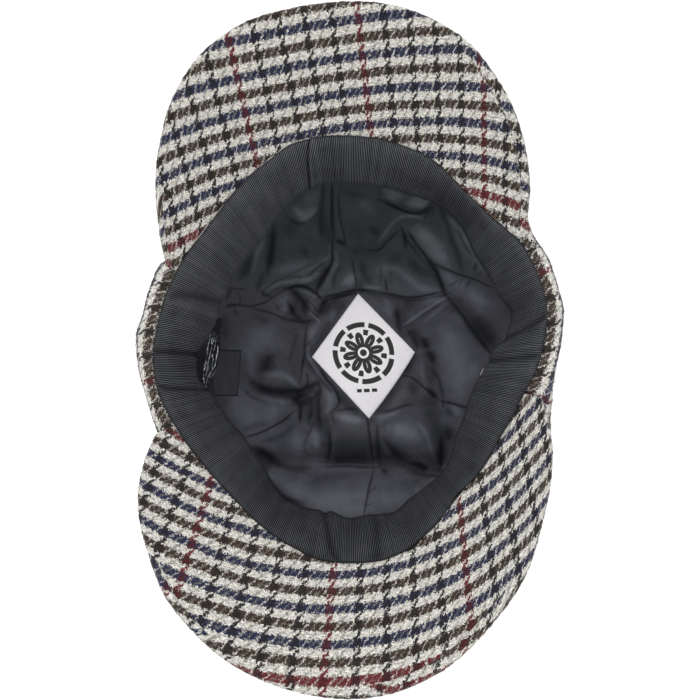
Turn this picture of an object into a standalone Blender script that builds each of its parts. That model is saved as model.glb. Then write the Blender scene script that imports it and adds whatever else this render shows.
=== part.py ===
# A deerstalker hat lying upside down on its crown, opening upward. The back peak points to +Y,
# the front peak to -Y, the ear flaps lie at +X and -X, and z = 0 is the surface it rests on.
# Lengths are millimetres, angles are degrees from +X toward +Y, shares run from 0 to 1.
import math

import bmesh
import bpy
import numpy as np

METRES = 0.001                        # one millimetre in Blender's metres

# Driving dimensions
RIM_HEIGHT = 108.0
PANEL_THICKNESS = 2.0
LINING_THICKNESS = 0.9
BAND_WIDTH = 31.0
BAND_THICKNESS = 1.2
PEAK_THICKNESS = 4.0
FLAP_THICKNESS = 3.0
GAP = 0.35
SEAM_GAP = 0.4
CROWN_BASE = FLAP_THICKNESS + GAP    # the crown's flattened top lies on the folded flaps
HAT_CENTRE = (-0.26, 1.29)           # middle of the hat's length and width, from the rim's centre

# Rim and sweatband
CROWN_OUTSET = 0.8                   # crown cloth outside the rim line
BAND_LIP = 0.8                       # the band laps this far over the rim line
BAND_RISE = 1.7                      # top of the band above the rim line
BAND_TURN = 3.0                      # the band turns down this far inside the rim line
BAND_LIP_SHARE = 0.14                # share of the band that lies flat over the rim
BAND_STATIONS = [0.0, BAND_LIP_SHARE, 0.32, 0.50, 0.68, 0.85, 1.0]
BAND_BOW = 1.6                       # how far the band arches between its two edges
RIM_ROWS = [
    # angle, rim radius, radius of the band's free edge
    (0, 86.5, 67.0),
    (15, 91.5, 80.0),
    (30, 92.0, 76.5),
    (45, 89.5, 80.0),
    (60, 92.5, 83.5),
    (75, 97.5, 83.0),
    (90, 99.0, 83.0),
    (105, 98.5, 82.0),
    (120, 92.5, 74.0),
    (135, 87.5, 68.5),
    (150, 86.0, 66.0),
    (165, 87.5, 65.0),
    (180, 89.0, 71.0),
    (195, 88.0, 69.5),
    (210, 84.5, 65.0),
    (225, 83.5, 65.0),
    (240, 86.5, 71.5),
    (255, 92.0, 75.0),
    (270, 95.0, 78.0),
    (285, 92.5, 76.5),
    (300, 84.5, 72.5),
    (315, 79.5, 67.5),
    (330, 78.0, 61.5),
    (345, 80.5, 61.0),
]
CREASE_ROWS = [
    # angle at the rim, angle at the free edge, half width, depth of a crease pressed in the band
    (181, 180, 3.4, 2.0),
    (191, 196, 3.2, 1.6),
    (162, 158, 3.8, 1.4),
    (11, 6, 3.4, 1.8),
    (358, 357, 3.4, 1.6),
    (268, 261, 3.6, 1.8),
]

# Crown, from the rim to the pole
SEAM_ANGLES = [30.0, 90.0, 150.0, 210.0, 270.0, 330.0]
SEAM_VALLEY = 1.1                    # a gore dips this much at its seams
SEAM_REACH = 9.0                     # how far from a seam the dip is felt
PLAIN_OVAL = (91.0, 96.0)            # half width and half length of the oval the plan turns into
CROWN_ROWS = [
    # drop as a share of the crown's height, spread of the plan, share of the plain oval
    (0.00, 1.000, 0.0),
    (0.05, 1.004, 0.0),
    (0.14, 1.028, 0.1),
    (0.28, 1.055, 0.3),
    (0.45, 1.060, 0.6),
    (0.62, 1.030, 0.8),
    (0.77, 0.965, 1.0),
    (0.89, 0.860, 1.0),
    (0.98, 0.745, 1.0),
    (1.00, 0.640, 1.0),
    (1.00, 0.450, 1.0),
    (1.00, 0.220, 1.0),
    (1.00, 0.016, 1.0),
]
PROFILE_STEP = 0.004                 # share of a profile over which its slope is read
POLE_RADIUS = 1.0                    # gores stop narrowing this close to the pole
SEAM_SHARE = 0.3                     # most of a gore that one seam gap may take
DENT_ROWS = [
    # angle, drop, angular reach, drop reach, depth of a soft dent in the crown's wall
    (62, 0.45, 20, 0.18, 3.0),
    (118, 0.60, 18, 0.15, 2.4),
    (236, 0.42, 18, 0.17, 3.0),
    (302, 0.58, 20, 0.17, 2.6),
]

# Lining, from its seam under the band to the pole
LINING_INSET = 2.6                   # seam of the lining inside the rim line
LINING_SEAMS = [27.0, 99.0, 160.0, 215.0, 269.0, 332.0]
LINING_ROWS = [
    # drop as a share of the crown's height, spread of the plan, share of the plain oval
    (0.012, 1.000, 0.0),
    (0.14, 0.995, 0.0),
    (0.28, 0.965, 0.2),
    (0.42, 0.890, 0.5),
    (0.56, 0.800, 0.8),
    (0.70, 0.700, 1.0),
    (0.82, 0.580, 1.0),
    (0.905, 0.440, 1.0),
    (0.95, 0.290, 1.0),
    (0.965, 0.150, 1.0),
    (0.965, 0.016, 1.0),
]
FOLD_START = 2.0                     # folds begin this far above the band's free edge
FOLD_GROWTH = 12.0                   # and reach their full height over this much drop
FOLD_ROWS = [
    # x and y where a fold starts, x and y where it ends, height, half width
    (-11, 42, 45, 44, 9.0, 9.0),
    (37, 73, 76, 24, 7.0, 8.0),
    (24, 77, 43, 84, 5.0, 7.0),
    (-35, 80, -17, 79, 5.0, 7.0),
    (-47, 39, -16, 51, 8.0, 7.0),
    (-26, 36, -18, 24, 5.0, 6.0),
    (-58, -19, -26, -19, 7.0, 9.0),
    (-27, 18, -28, -11, 4.0, 6.0),
    (-24, -25, -20, -46, 6.0, 7.0),
    (-53, -30, -34, -48, 6.0, 8.0),
    (-40, -64, 42, -64, 15.0, 13.0),
    (18, -37, 37, -35, 8.0, 9.0),
    (36, 9, 48, -17, 6.0, 7.0),
]

# Peaks
PEAK_SINK = 0.5                      # root of a peak below the rim line
PEAK_HORN_SHARE = 0.06               # share of the peak's sweep over which each horn thins
PEAK_HORN_THICKNESS = 2.0
PEAK_EDGE_ROWS = [
    # share of the way out from the rim, share of the full thickness
    (0.00, 1.00),
    (0.20, 1.00),
    (0.40, 1.00),
    (0.60, 1.00),
    (0.80, 1.00),
    (0.94, 0.96),
    (1.00, 0.45),
]
PEAKS = {
    "back_peak": {
        "pitch": 37.0,
        "reach": [
            # angle, reach beyond the rim in plan
            (29.5, 5.5),
            (36, 10.0),
            (42, 20.0),
            (50, 30.5),
            (60, 40.5),
            (70, 47.0),
            (85, 50.5),
            (100, 50.0),
            (115, 49.0),
            (125, 43.5),
            (135, 33.0),
            (145, 20.0),
            (155.5, 6.0),
        ],
    },
    "front_peak": {
        "pitch": 35.0,
        "reach": [
            # angle, reach beyond the rim in plan
            (203.5, 9.0),
            (210, 21.0),
            (217, 31.0),
            (225, 39.0),
            (235, 47.0),
            (247, 51.0),
            (260, 52.0),
            (275, 51.5),
            (290, 47.5),
            (305, 42.5),
            (318, 33.0),
            (332, 23.0),
            (346, 8.0),
        ],
    },
}

# Ear flaps, folded up along the crown
FLAP_ROLL = 8.5                      # radius of the rolled fold at the rim
FLAP_ROOT_GAP = GAP + 0.15           # between the crown and the flap's sewn edge
FLAP_ROLL_STEPS = 4
FLAPS = {
    # middle angle and half angle of the seam at the rim, middle angle at the tip
    "ear_flap_left": (179.5, 22.5, 180.0),
    "ear_flap_right": (7.6, 20.0, 0.0),
}
FLAP_ROWS = [
    # station down the crown, half width across, stand-off from the crown
    (2.0, 36.0, 1.1),
    (3.0, 41.0, 0.7),
    (4.0, 45.0, 0.5),
    (5.0, 45.0, GAP),
    (6.0, 42.0, GAP),
    (7.0, 38.5, GAP),
    (8.0, 35.0, GAP),
    (9.0, 31.0, GAP),
    (10.0, 26.5, GAP),
    (10.5, 24.0, GAP),
    (11.0, 20.0, GAP),
    (11.6, 10.0, GAP),
]
TIE_WIDTH = 14.0

# Labels
DIAMOND_HALF = (28.5, 33.5)          # half diagonals
DIAMOND_CENTRE = (7.5, 5.5)
DIAMOND_TURN = 5.0
DIAMOND_SEAT = 12.0                  # height of the cloth pressed flat under the diamond
DIAMOND_PRESS = (1.35, 1.75)         # the cloth is flat inside the first, free outside the second
DIAMOND_THICKNESS = 0.7
HUNG_LABELS = {
    # middle of the upper edge, heading from the hat's middle, pitch of the slope, sizes
    "loop_label": {"seat": (-65.5, 1.3, 83.6), "heading": 165.7, "pitch": 62.0,
                   "width": 35.0, "length": 12.0, "thickness": 1.6},
    "care_label": {"seat": (-65.6, -8.5, 72.0), "heading": 182.0, "pitch": 38.0,
                   "width": 23.0, "length": 15.0, "thickness": 0.8},
}

# How finely each sheet is divided: round the hat or across, and along its path
CROWN_STEPS = (8, 14)
LINING_STEPS = (8, 12)
BAND_STEPS = 84
PEAK_STEPS = 30
FLAP_STEPS = 10

COLOURS = {
    # base colour, roughness
    "tweed": ((0.42, 0.40, 0.36), 0.95),
    "satin": ((0.018, 0.018, 0.020), 0.40),
    "grosgrain": ((0.016, 0.018, 0.019), 0.85),
    "white satin": ((0.72, 0.71, 0.73), 0.50),
    "ribbon": ((0.045, 0.040, 0.036), 0.85),
}


def smooth(rows, column, x, period=None):
    # Cubic through a table's rows that never swings past them
    xs = [row[0] for row in rows]
    ys = [row[column] for row in rows]
    if period:
        x = (x - xs[0]) % period + xs[0]
        xs = [xs[-1] - period] + xs + [xs[0] + period, xs[1] + period]
        ys = [ys[-1]] + ys + [ys[0], ys[1]]
    x = min(max(x, xs[0]), xs[-1])
    index = 0
    while index < len(xs) - 2 and x > xs[index + 1]:
        index += 1

    def secant(i):
        return (ys[i + 1] - ys[i]) / (xs[i + 1] - xs[i])

    def slope(i):
        if i == 0:
            return secant(0)
        if i == len(xs) - 1:
            return secant(i - 1)
        before, after = secant(i - 1), secant(i)
        if before * after <= 0:
            return 0.0
        return 2 * before * after / (before + after)

    step = xs[index + 1] - xs[index]
    t = (x - xs[index]) / step
    h0 = 2 * t ** 3 - 3 * t ** 2 + 1
    h1 = t ** 3 - 2 * t ** 2 + t
    h2 = -2 * t ** 3 + 3 * t ** 2
    h3 = t ** 3 - t ** 2
    bend = h1 * slope(index) + h3 * slope(index + 1)
    return h0 * ys[index] + h2 * ys[index + 1] + step * bend


def along(rows, column, share):
    # A table read by its row number, from 0 at the first row to 1 at the last
    numbered = [(number / (len(rows) - 1),) + tuple(row) for number, row in enumerate(rows)]
    return smooth(numbered, column + 1, share)


def polar(angle, radius, z):
    turn = math.radians(angle)
    return np.array([radius * math.cos(turn), radius * math.sin(turn), z])


def rimRadius(angle):
    return smooth(RIM_ROWS, 1, angle, 360)


def freeRadius(angle):
    return smooth(RIM_ROWS, 2, angle, 360)


def ovalRadius(angle):
    turn = math.radians(angle)
    return 1 / math.hypot(math.cos(turn) / PLAIN_OVAL[0], math.sin(turn) / PLAIN_OVAL[1])


def angleBetween(a, b):
    return (a - b + 180) % 360 - 180


def planRadius(rows, angle, share):
    # Radius in plan of the crown or the lining, part way from the rim's outline to the oval
    oval = along(rows, 2, share)
    outline = rimRadius(angle) * (1 - oval) + ovalRadius(angle) * oval
    return outline * along(rows, 1, share)


def heightAt(rows, share):
    return RIM_HEIGHT - along(rows, 0, share) * (RIM_HEIGHT - CROWN_BASE)


def bell(distance, reach):
    return math.exp(-(distance / reach) ** 2)


def crownProfile(angle, share):
    # Radius and height of the crown's outer face, with its dents and the valleys at its seams
    radius = planRadius(CROWN_ROWS, angle, share) + CROWN_OUTSET
    drop = along(CROWN_ROWS, 0, share)
    wall = math.sin(math.pi * min(drop, 1.0)) ** 0.5 if 0 < drop < 1 else 0.0
    for seam in SEAM_ANGLES:
        away = math.radians(abs(angleBetween(angle, seam))) * radius
        radius -= wall * SEAM_VALLEY * bell(away, SEAM_REACH)
    for middle, level, turn, tall, depth in DENT_ROWS:
        radius -= wall * depth * bell(angleBetween(angle, middle), turn) * bell(drop - level, tall)
    return radius, heightAt(CROWN_ROWS, share)


def outward(profile, angle, share):
    # Direction, in radius and height, that a profile faces away from the hollow
    ahead = profile(angle, min(share + PROFILE_STEP, 1.0))
    behind = profile(angle, max(share - PROFILE_STEP, 0.0))
    run, fall = ahead[0] - behind[0], ahead[1] - behind[1]
    size = math.hypot(run, fall)
    return -fall / size, run / size


def crownPoint(angle, share, offset):
    radius, height = crownProfile(angle, share)
    across, up = outward(crownProfile, angle, share)
    return polar(angle, radius + offset * across, max(height + offset * up, 0.0))


def liningProfile(angle, share):
    radius = planRadius(LINING_ROWS, angle, share) - LINING_INSET * (1 - share)
    return radius, heightAt(LINING_ROWS, share)


def foldHeight(x, y):
    # How far the folds lift the lining off its plain bowl
    lift = 0.0
    for startX, startY, endX, endY, height, reach in FOLD_ROWS:
        runX, runY = endX - startX, endY - startY
        share = ((x - startX) * runX + (y - startY) * runY) / (runX ** 2 + runY ** 2)
        share = min(max(share, 0.0), 1.0)
        away = math.hypot(x - startX - share * runX, y - startY - share * runY)
        lift = max(lift, height * bell(away, reach))
    return lift


def diamondShare(x, y):
    # 1 on the outline of the diamond label, less inside it
    turn = math.radians(DIAMOND_TURN)
    x, y = x - DIAMOND_CENTRE[0], y - DIAMOND_CENTRE[1]
    u = x * math.cos(turn) + y * math.sin(turn)
    v = y * math.cos(turn) - x * math.sin(turn)
    return abs(u) / DIAMOND_HALF[0] + abs(v) / DIAMOND_HALF[1]


def liningPoint(angle, share, offset):
    # The lining's inner face, or with an offset a face that far behind it
    radius, height = liningProfile(angle, share)
    across, up = outward(liningProfile, angle, share)
    plain = polar(angle, radius, height)
    below = bandFall(angle)
    loose = min(max((RIM_HEIGHT - below + FOLD_START - height) / FOLD_GROWTH, 0.0), 1.0)
    lift = foldHeight(plain[0], plain[1]) * loose
    x, y, z = polar(angle, radius - lift * across, height - lift * up)
    flat, free = DIAMOND_PRESS
    pressed = min(max((free - diamondShare(x, y)) / (free - flat), 0.0), 1.0)
    z += (DIAMOND_SEAT - z) * pressed
    back = polar(angle, offset * across, offset * up)
    return np.array([x, y, z]) + back


def bandFall(angle):
    # How far the band's free edge lies below the rim
    return math.sqrt(BAND_WIDTH ** 2 - (rimRadius(angle) - freeRadius(angle)) ** 2)


def bandPoint(angle, share, offset):
    # The sweatband's upper face from its lip over the rim (0) to its free edge (1)
    rim, free = rimRadius(angle), freeRadius(angle)
    fall = bandFall(angle)
    lean = math.atan2(fall, rim - free)
    lipShare = BAND_LIP_SHARE
    if share < lipShare:
        part = share / lipShare
        radius = rim + BAND_LIP - part * (BAND_LIP + BAND_TURN)
        z = RIM_HEIGHT + BAND_RISE
        facing = (0.0, 1.0)
    else:
        part = (share - lipShare) / (1 - lipShare)
        bow = BAND_BOW * math.sin(math.pi * part)
        for atRim, atFree, reach, depth in CREASE_ROWS:
            middle = atRim + angleBetween(atFree, atRim) * part
            away = math.radians(abs(angleBetween(angle, middle))) * rim
            bow -= depth * bell(away, reach) * math.sin(math.pi * min(part, 0.5))
        facing = (-math.sin(lean), math.cos(lean))
        radius = rim - BAND_TURN + part * (free - rim + BAND_TURN) + bow * facing[0]
        z = RIM_HEIGHT + BAND_RISE - part * fall + bow * facing[1]
    return polar(angle, radius - offset * facing[0], z - offset * facing[1])


def makeObject(name, colour, points, faces):
    mesh = bpy.data.meshes.new(name)
    centre = np.array([HAT_CENTRE[0], HAT_CENTRE[1], 0.0])
    mesh.from_pydata([tuple((point - centre) * METRES) for point in points], [], faces)
    solid = bmesh.new()
    solid.from_mesh(mesh)
    bmesh.ops.recalc_face_normals(solid, faces=solid.faces)
    solid.to_mesh(mesh)
    solid.free()
    mesh.shade_smooth()
    mesh.set_sharp_from_angle(angle=math.radians(40))
    base, roughness = COLOURS[colour]
    material = bpy.data.materials.new(name)
    material.use_nodes = True
    shader = material.node_tree.nodes["Principled BSDF"]
    shader.inputs["Base Color"].default_value = (*base, 1.0)
    shader.inputs["Roughness"].default_value = roughness
    shader.inputs["Metallic"].default_value = 0.0
    mesh.materials.append(material)
    made = bpy.data.objects.new(name, mesh)
    bpy.context.collection.objects.link(made)
    return made


def makeSheet(name, colour, front, back, closed=False):
    # A solid sheet between two grids of points of one size, rows first. front is seen with
    # its rows running up and its columns running to the right. A closed sheet is a ring of rows.
    rows, columns = len(front), len(front[0])
    points = [point for row in front for point in row] + [point for row in back for point in row]
    second = rows * columns

    def at(side, row, column):
        return side * second + (row % rows) * columns + column

    faces = []
    for row in range(rows if closed else rows - 1):
        for column in range(columns - 1):
            faces.append((at(0, row, column), at(0, row, column + 1),
                          at(0, row + 1, column + 1), at(0, row + 1, column)))
            faces.append((at(1, row + 1, column), at(1, row + 1, column + 1),
                          at(1, row, column + 1), at(1, row, column)))
        faces.append((at(0, row + 1, 0), at(1, row + 1, 0), at(1, row, 0), at(0, row, 0)))
        last = columns - 1
        faces.append((at(0, row, last), at(1, row, last), at(1, row + 1, last), at(0, row + 1, last)))
    if not closed:
        last = rows - 1
        for column in range(columns - 1):
            faces.append((at(1, 0, column), at(1, 0, column + 1),
                          at(0, 0, column + 1), at(0, 0, column)))
            faces.append((at(0, last, column), at(0, last, column + 1),
                          at(1, last, column + 1), at(1, last, column)))
    return makeObject(name, colour, points, faces)


def shares(steps):
    return [step / steps for step in range(steps + 1)]


def gores(prefix, colour, seams, steps, pointAt, thickness):
    # One sheet for each gap between two seams, its sides kept half a seam gap off each seam
    for number, seam in enumerate(seams):
        following = seams[(number + 1) % len(seams)]
        sweep = angleBetween(following, seam) % 360
        outer, inner = [], []
        for part in shares(steps[0]):
            outerRow, innerRow = [], []
            for share in shares(steps[1]):
                radius = max(math.hypot(*pointAt(seam, share, 0.0)[:2]), POLE_RADIUS)
                inset = min(math.degrees(SEAM_GAP / 2 / radius), sweep * SEAM_SHARE)
                angle = seam + inset + part * (sweep - 2 * inset)
                outerRow.append(pointAt(angle, share, thickness[0]))
                innerRow.append(pointAt(angle, share, thickness[1]))
            outer.append(outerRow)
            inner.append(innerRow)
        makeSheet(f"{prefix}_{number + 1}", colour, inner, outer)


def crown():
    gores("crown_panel", "tweed", SEAM_ANGLES, CROWN_STEPS, crownPoint, (0.0, -PANEL_THICKNESS))


def lining():
    gores("lining_panel", "satin", LINING_SEAMS, LINING_STEPS, liningPoint, (LINING_THICKNESS, 0.0))


def sweatband():
    upper, lower = [], []
    for step in range(BAND_STEPS):
        angle = 360 * step / BAND_STEPS
        upper.append([bandPoint(angle, share, 0.0) for share in BAND_STATIONS])
        lower.append([bandPoint(angle, share, BAND_THICKNESS) for share in BAND_STATIONS])
    makeSheet("sweatband", "grosgrain", upper, lower, closed=True)


def peak(name):
    rows, pitch = PEAKS[name]["reach"], math.radians(PEAKS[name]["pitch"])
    first, last = rows[0][0], rows[-1][0]
    top, underside = [], []
    for part in shares(PEAK_STEPS):
        angle = first + (last - first) * part
        horn = min(part, 1 - part, PEAK_HORN_SHARE) / PEAK_HORN_SHARE
        full = PEAK_HORN_THICKNESS + (PEAK_THICKNESS - PEAK_HORN_THICKNESS) * horn
        root = rimRadius(angle) + CROWN_OUTSET + GAP
        wide = rimRadius(angle) + smooth(rows, 1, angle) - full * math.sin(pitch) - root
        topRow, underRow = [], []
        for share, bulk in PEAK_EDGE_ROWS:
            thickness = full * bulk
            shift = (full - thickness) / 2
            radius = root + wide * share + shift * math.sin(pitch)
            z = RIM_HEIGHT - PEAK_SINK + wide * share * math.tan(pitch) - shift * math.cos(pitch)
            topRow.append(polar(angle, radius, z))
            underRow.append(polar(angle, radius + thickness * math.sin(pitch),
                                  z - thickness * math.cos(pitch)))
        top.append(topRow)
        underside.append(underRow)
    makeSheet(name, "tweed", underside, top)


def flapRow(middle, half, tip, part):
    # One line of a flap from its seam at the rim to its tip, as points of its two faces
    side = 2 * part - 1
    angle = middle + side * half
    root = rimRadius(angle) + CROWN_OUTSET + FLAP_ROOT_GAP
    centre = RIM_HEIGHT - FLAP_ROLL - GAP
    outer, inner = [], []
    for share in shares(FLAP_ROLL_STEPS):
        turn = math.radians(90 * (1 - share))
        for face, reach in ((outer, FLAP_ROLL), (inner, FLAP_ROLL - FLAP_THICKNESS)):
            face.append(polar(angle, root + reach * math.cos(turn), centre + reach * math.sin(turn)))
    farthest = FLAP_ROWS[-1][0]
    for station, wide, stand in FLAP_ROWS:
        way = station / CROWN_STEPS[1]
        line = middle + angleBetween(tip, middle) * station / farthest
        radius = math.hypot(*crownPoint(line, way, 0.0)[:2])
        angle = line + side * math.degrees(wide / radius)
        outer.append(crownPoint(angle, way, stand + FLAP_THICKNESS))
        inner.append(crownPoint(angle, way, stand))
    return outer, inner


def earFlap(name):
    middle, half, tip = FLAPS[name]
    lines = [flapRow(middle, half, tip, part) for part in shares(FLAP_STEPS)]
    makeSheet(name, "tweed", [line[1] for line in lines], [line[0] for line in lines])


def plate(name, colour, corners, thickness):
    # A flat plate whose face is the four corners, counted against the clock seen from above
    corners = [np.array(corner, dtype=float) for corner in corners]
    facing = np.cross(corners[1] - corners[0], corners[3] - corners[0])
    facing = facing / np.linalg.norm(facing)
    points = corners + [corner - facing * thickness for corner in corners]
    faces = [(0, 1, 2, 3), (7, 6, 5, 4)]
    faces += [(i, i + 4, (i + 1) % 4 + 4, (i + 1) % 4) for i in range(4)]
    return makeObject(name, colour, points, faces)


def flapTie():
    # Plain strap on the surface that joins the two flap tips under the crown
    way = FLAP_ROWS[-1][0] / CROWN_STEPS[1]
    edge = math.degrees(FLAP_ROWS[-1][1] / crownPoint(0.0, way, 0.0)[0])
    right = crownPoint(edge, way, 0.0)[0] - GAP
    left = crownPoint(180.0 - edge, way, 0.0)[0] + GAP
    half, top = TIE_WIDTH / 2, FLAP_THICKNESS
    corners = [(left, -half, top), (right, -half, top), (right, half, top), (left, half, top)]
    plate("flap_tie", "ribbon", corners, FLAP_THICKNESS)


def crownLabel():
    turn = math.radians(DIAMOND_TURN)
    z = DIAMOND_SEAT + GAP + DIAMOND_THICKNESS
    corners = []
    for u, v in ((DIAMOND_HALF[0], 0), (0, DIAMOND_HALF[1]), (-DIAMOND_HALF[0], 0), (0, -DIAMOND_HALF[1])):
        x = DIAMOND_CENTRE[0] + u * math.cos(turn) - v * math.sin(turn)
        y = DIAMOND_CENTRE[1] + u * math.sin(turn) + v * math.cos(turn)
        corners.append((x, y, z))
    plate("crown_label", "white satin", corners, DIAMOND_THICKNESS)


def hungLabel(name):
    # A label that slopes down and inward from its upper edge
    size = HUNG_LABELS[name]
    turn, pitch = math.radians(size["heading"]), math.radians(size["pitch"])
    seat = np.array(size["seat"])
    half = np.array([-math.sin(turn), math.cos(turn), 0.0]) * size["width"] / 2
    inward = np.array([-math.cos(turn) * math.cos(pitch), -math.sin(turn) * math.cos(pitch),
                       -math.sin(pitch)]) * size["length"]
    corners = [seat + half, seat + half + inward, seat - half + inward, seat - half]
    plate(name, "satin", corners, size["thickness"])


for leftover in list(bpy.data.objects):
    bpy.data.objects.remove(leftover, do_unlink=True)

crown()
lining()
sweatband()
for peakName in PEAKS:
    peak(peakName)
for flapName in FLAPS:
    earFlap(flapName)
flapTie()
crownLabel()
for labelName in HUNG_LABELS:
    hungLabel(labelName)
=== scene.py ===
import math

import bpy
import numpy as np
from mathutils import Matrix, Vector


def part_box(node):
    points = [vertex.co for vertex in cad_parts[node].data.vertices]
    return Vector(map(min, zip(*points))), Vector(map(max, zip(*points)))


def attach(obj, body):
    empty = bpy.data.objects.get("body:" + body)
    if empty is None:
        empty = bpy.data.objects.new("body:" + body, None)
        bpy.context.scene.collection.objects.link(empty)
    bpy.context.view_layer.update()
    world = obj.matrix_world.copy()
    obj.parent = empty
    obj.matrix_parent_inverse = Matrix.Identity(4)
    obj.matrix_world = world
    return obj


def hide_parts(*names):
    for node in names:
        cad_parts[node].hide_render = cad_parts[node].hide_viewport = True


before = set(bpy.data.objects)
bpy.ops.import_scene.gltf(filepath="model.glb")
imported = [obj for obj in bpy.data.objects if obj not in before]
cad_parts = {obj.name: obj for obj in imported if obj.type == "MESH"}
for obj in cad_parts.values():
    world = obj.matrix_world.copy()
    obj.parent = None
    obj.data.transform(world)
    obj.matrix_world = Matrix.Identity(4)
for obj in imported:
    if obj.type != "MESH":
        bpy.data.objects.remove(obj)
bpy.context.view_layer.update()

# The hat lies on its crown with its opening up. Lengths here are millimetres from the middle of
# the rim, heights are from the surface below, angles are degrees from +X toward +Y.
hat = {
    "rimHeight": 108.0,
    "crownBase": 3.35,
    "centre": (-0.26, 1.29),
    "outset": 0.8,
    "gap": 0.35,
    "oval": (91.0, 96.0),
    "rim": [
        # angle, radius of the rim
        (0, 86.5), (15, 91.5), (30, 92.0), (45, 89.5), (60, 92.5), (75, 97.5),
        (90, 99.0), (105, 98.5), (120, 92.5), (135, 87.5), (150, 86.0), (165, 87.5),
        (180, 89.0), (195, 88.0), (210, 84.5), (225, 83.5), (240, 86.5), (255, 92.0),
        (270, 95.0), (285, 92.5), (300, 84.5), (315, 79.5), (330, 78.0), (345, 80.5),
    ],
}


def cubic(rows, column, x, period=None):
    # A smooth curve through one column of a table that never swings past its rows
    xs = np.array([row[0] for row in rows], float)
    ys = np.array([row[column] for row in rows], float)
    x = np.asarray(x, float)
    if period:
        x = (x - xs[0]) % period + xs[0]
        xs = np.concatenate([xs[-2:] - period, xs, xs[:3] + period])
        ys = np.concatenate([ys[-2:], ys, ys[:3]])
    x = np.clip(x, xs[0], xs[-1])
    step = np.diff(xs)
    secant = np.diff(ys) / step
    before, after = secant[:-1], secant[1:]
    same = before * after > 0
    inner = np.where(same, 2 * before * after / np.where(same, before + after, 1.0), 0.0)
    slope = np.concatenate([secant[:1], inner, secant[-1:]])
    at = np.clip(np.searchsorted(xs, x, side="right") - 1, 0, len(xs) - 2)
    t = (x - xs[at]) / step[at]
    start = (2 * t ** 3 - 3 * t ** 2 + 1) * ys[at] + step[at] * (t ** 3 - 2 * t ** 2 + t) * slope[at]
    end = (3 * t ** 2 - 2 * t ** 3) * ys[at + 1] + step[at] * (t ** 3 - t ** 2) * slope[at + 1]
    return start + end


def along(rows, column, share):
    # A table read from 0 at its first row to 1 at its last
    numbered = [(number / (len(rows) - 1), *row) for number, row in enumerate(rows)]
    return cubic(numbered, column + 1, share)


def ramp(x, low, high):
    t = np.clip((x - low) / (high - low), 0, 1)
    return t * t * (3 - 2 * t)


def bell(distance, reach):
    return np.exp(-(distance / reach) ** 2)


def between(a, b):
    return (a - b + 180) % 360 - 180


def polar(angle, radius, height):
    turn = np.radians(angle)
    points = np.broadcast_arrays(radius * np.cos(turn), radius * np.sin(turn), height)
    return np.stack(points, -1).astype(float)


def rimRadius(angle):
    return cubic(hat["rim"], 1, angle, 360)


def ovalRadius(angle):
    turn = np.radians(angle)
    return 1 / np.hypot(np.cos(turn) / hat["oval"][0], np.sin(turn) / hat["oval"][1])


def ripple(x, y, seed):
    # A smooth random field between about -1 and 1 that swings once a unit
    size = 64
    turn = np.random.default_rng(seed).uniform(0, 2 * math.pi, (size, size))
    column, row = np.floor(x).astype(int), np.floor(y).astype(int)
    fx, fy = x - column, y - row
    sx, sy = fx * fx * (3 - 2 * fx), fy * fy * (3 - 2 * fy)

    def corner(i, j):
        way = turn[(row + j) % size, (column + i) % size]
        return np.cos(way) * (fx - i) + np.sin(way) * (fy - j)

    low = corner(0, 0) * (1 - sx) + corner(1, 0) * sx
    high = corner(0, 1) * (1 - sx) + corner(1, 1) * sx
    return 1.5 * (low * (1 - sy) + high * sy)


# Camera first, from the photograph's place almost straight above the opening
view = {
    "lens": 50.0,
    "aim": (0.00026, -0.00129, 0.108),
    "away": 0.45,
    "tilt": 5.0,
    "halfFrame": 0.15925,
    "halfPicture": 350,  # points from the picture's middle to its side
}
camera = bpy.data.objects.new("camera", bpy.data.cameras.new("camera"))
bpy.context.collection.objects.link(camera)
camera.data.sensor_width = 2 * view["lens"] * view["halfFrame"] / view["away"]
camera.data.lens = view["lens"]
lean = math.radians(view["tilt"])
camera.location = (view["aim"][0], view["aim"][1] - view["away"] * math.sin(lean),
                   view["aim"][2] + view["away"] * math.cos(lean))
camera.rotation_euler = (lean, 0, 0)
bpy.context.scene.camera = camera
print("camera placed")


def seen(points):
    # Where the camera sees points given in millimetres, in points of a picture 700 wide
    away, half, tilt = view["away"] * 1000, view["halfFrame"] * 1000, math.radians(view["tilt"])
    aim = np.array([0.0, 0.0, hat["rimHeight"]])
    offset = points - aim - away * np.array([0.0, -math.sin(tilt), math.cos(tilt)])
    depth = offset @ [0.0, math.sin(tilt), -math.cos(tilt)]
    middle = view["halfPicture"]
    scale = middle * away / half / depth
    up = offset @ [0.0, math.cos(tilt), math.sin(tilt)]
    return middle + scale * offset[..., 0], middle - scale * up


def ink(red, green, blue):
    # A colour as the photograph shows it, turned to linear light
    def linear(level):
        level = level / 255
        return level / 12.92 if level <= 0.04045 else ((level + 0.055) / 1.055) ** 2.4
    return (linear(red), linear(green), linear(blue), 1.0)


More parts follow.
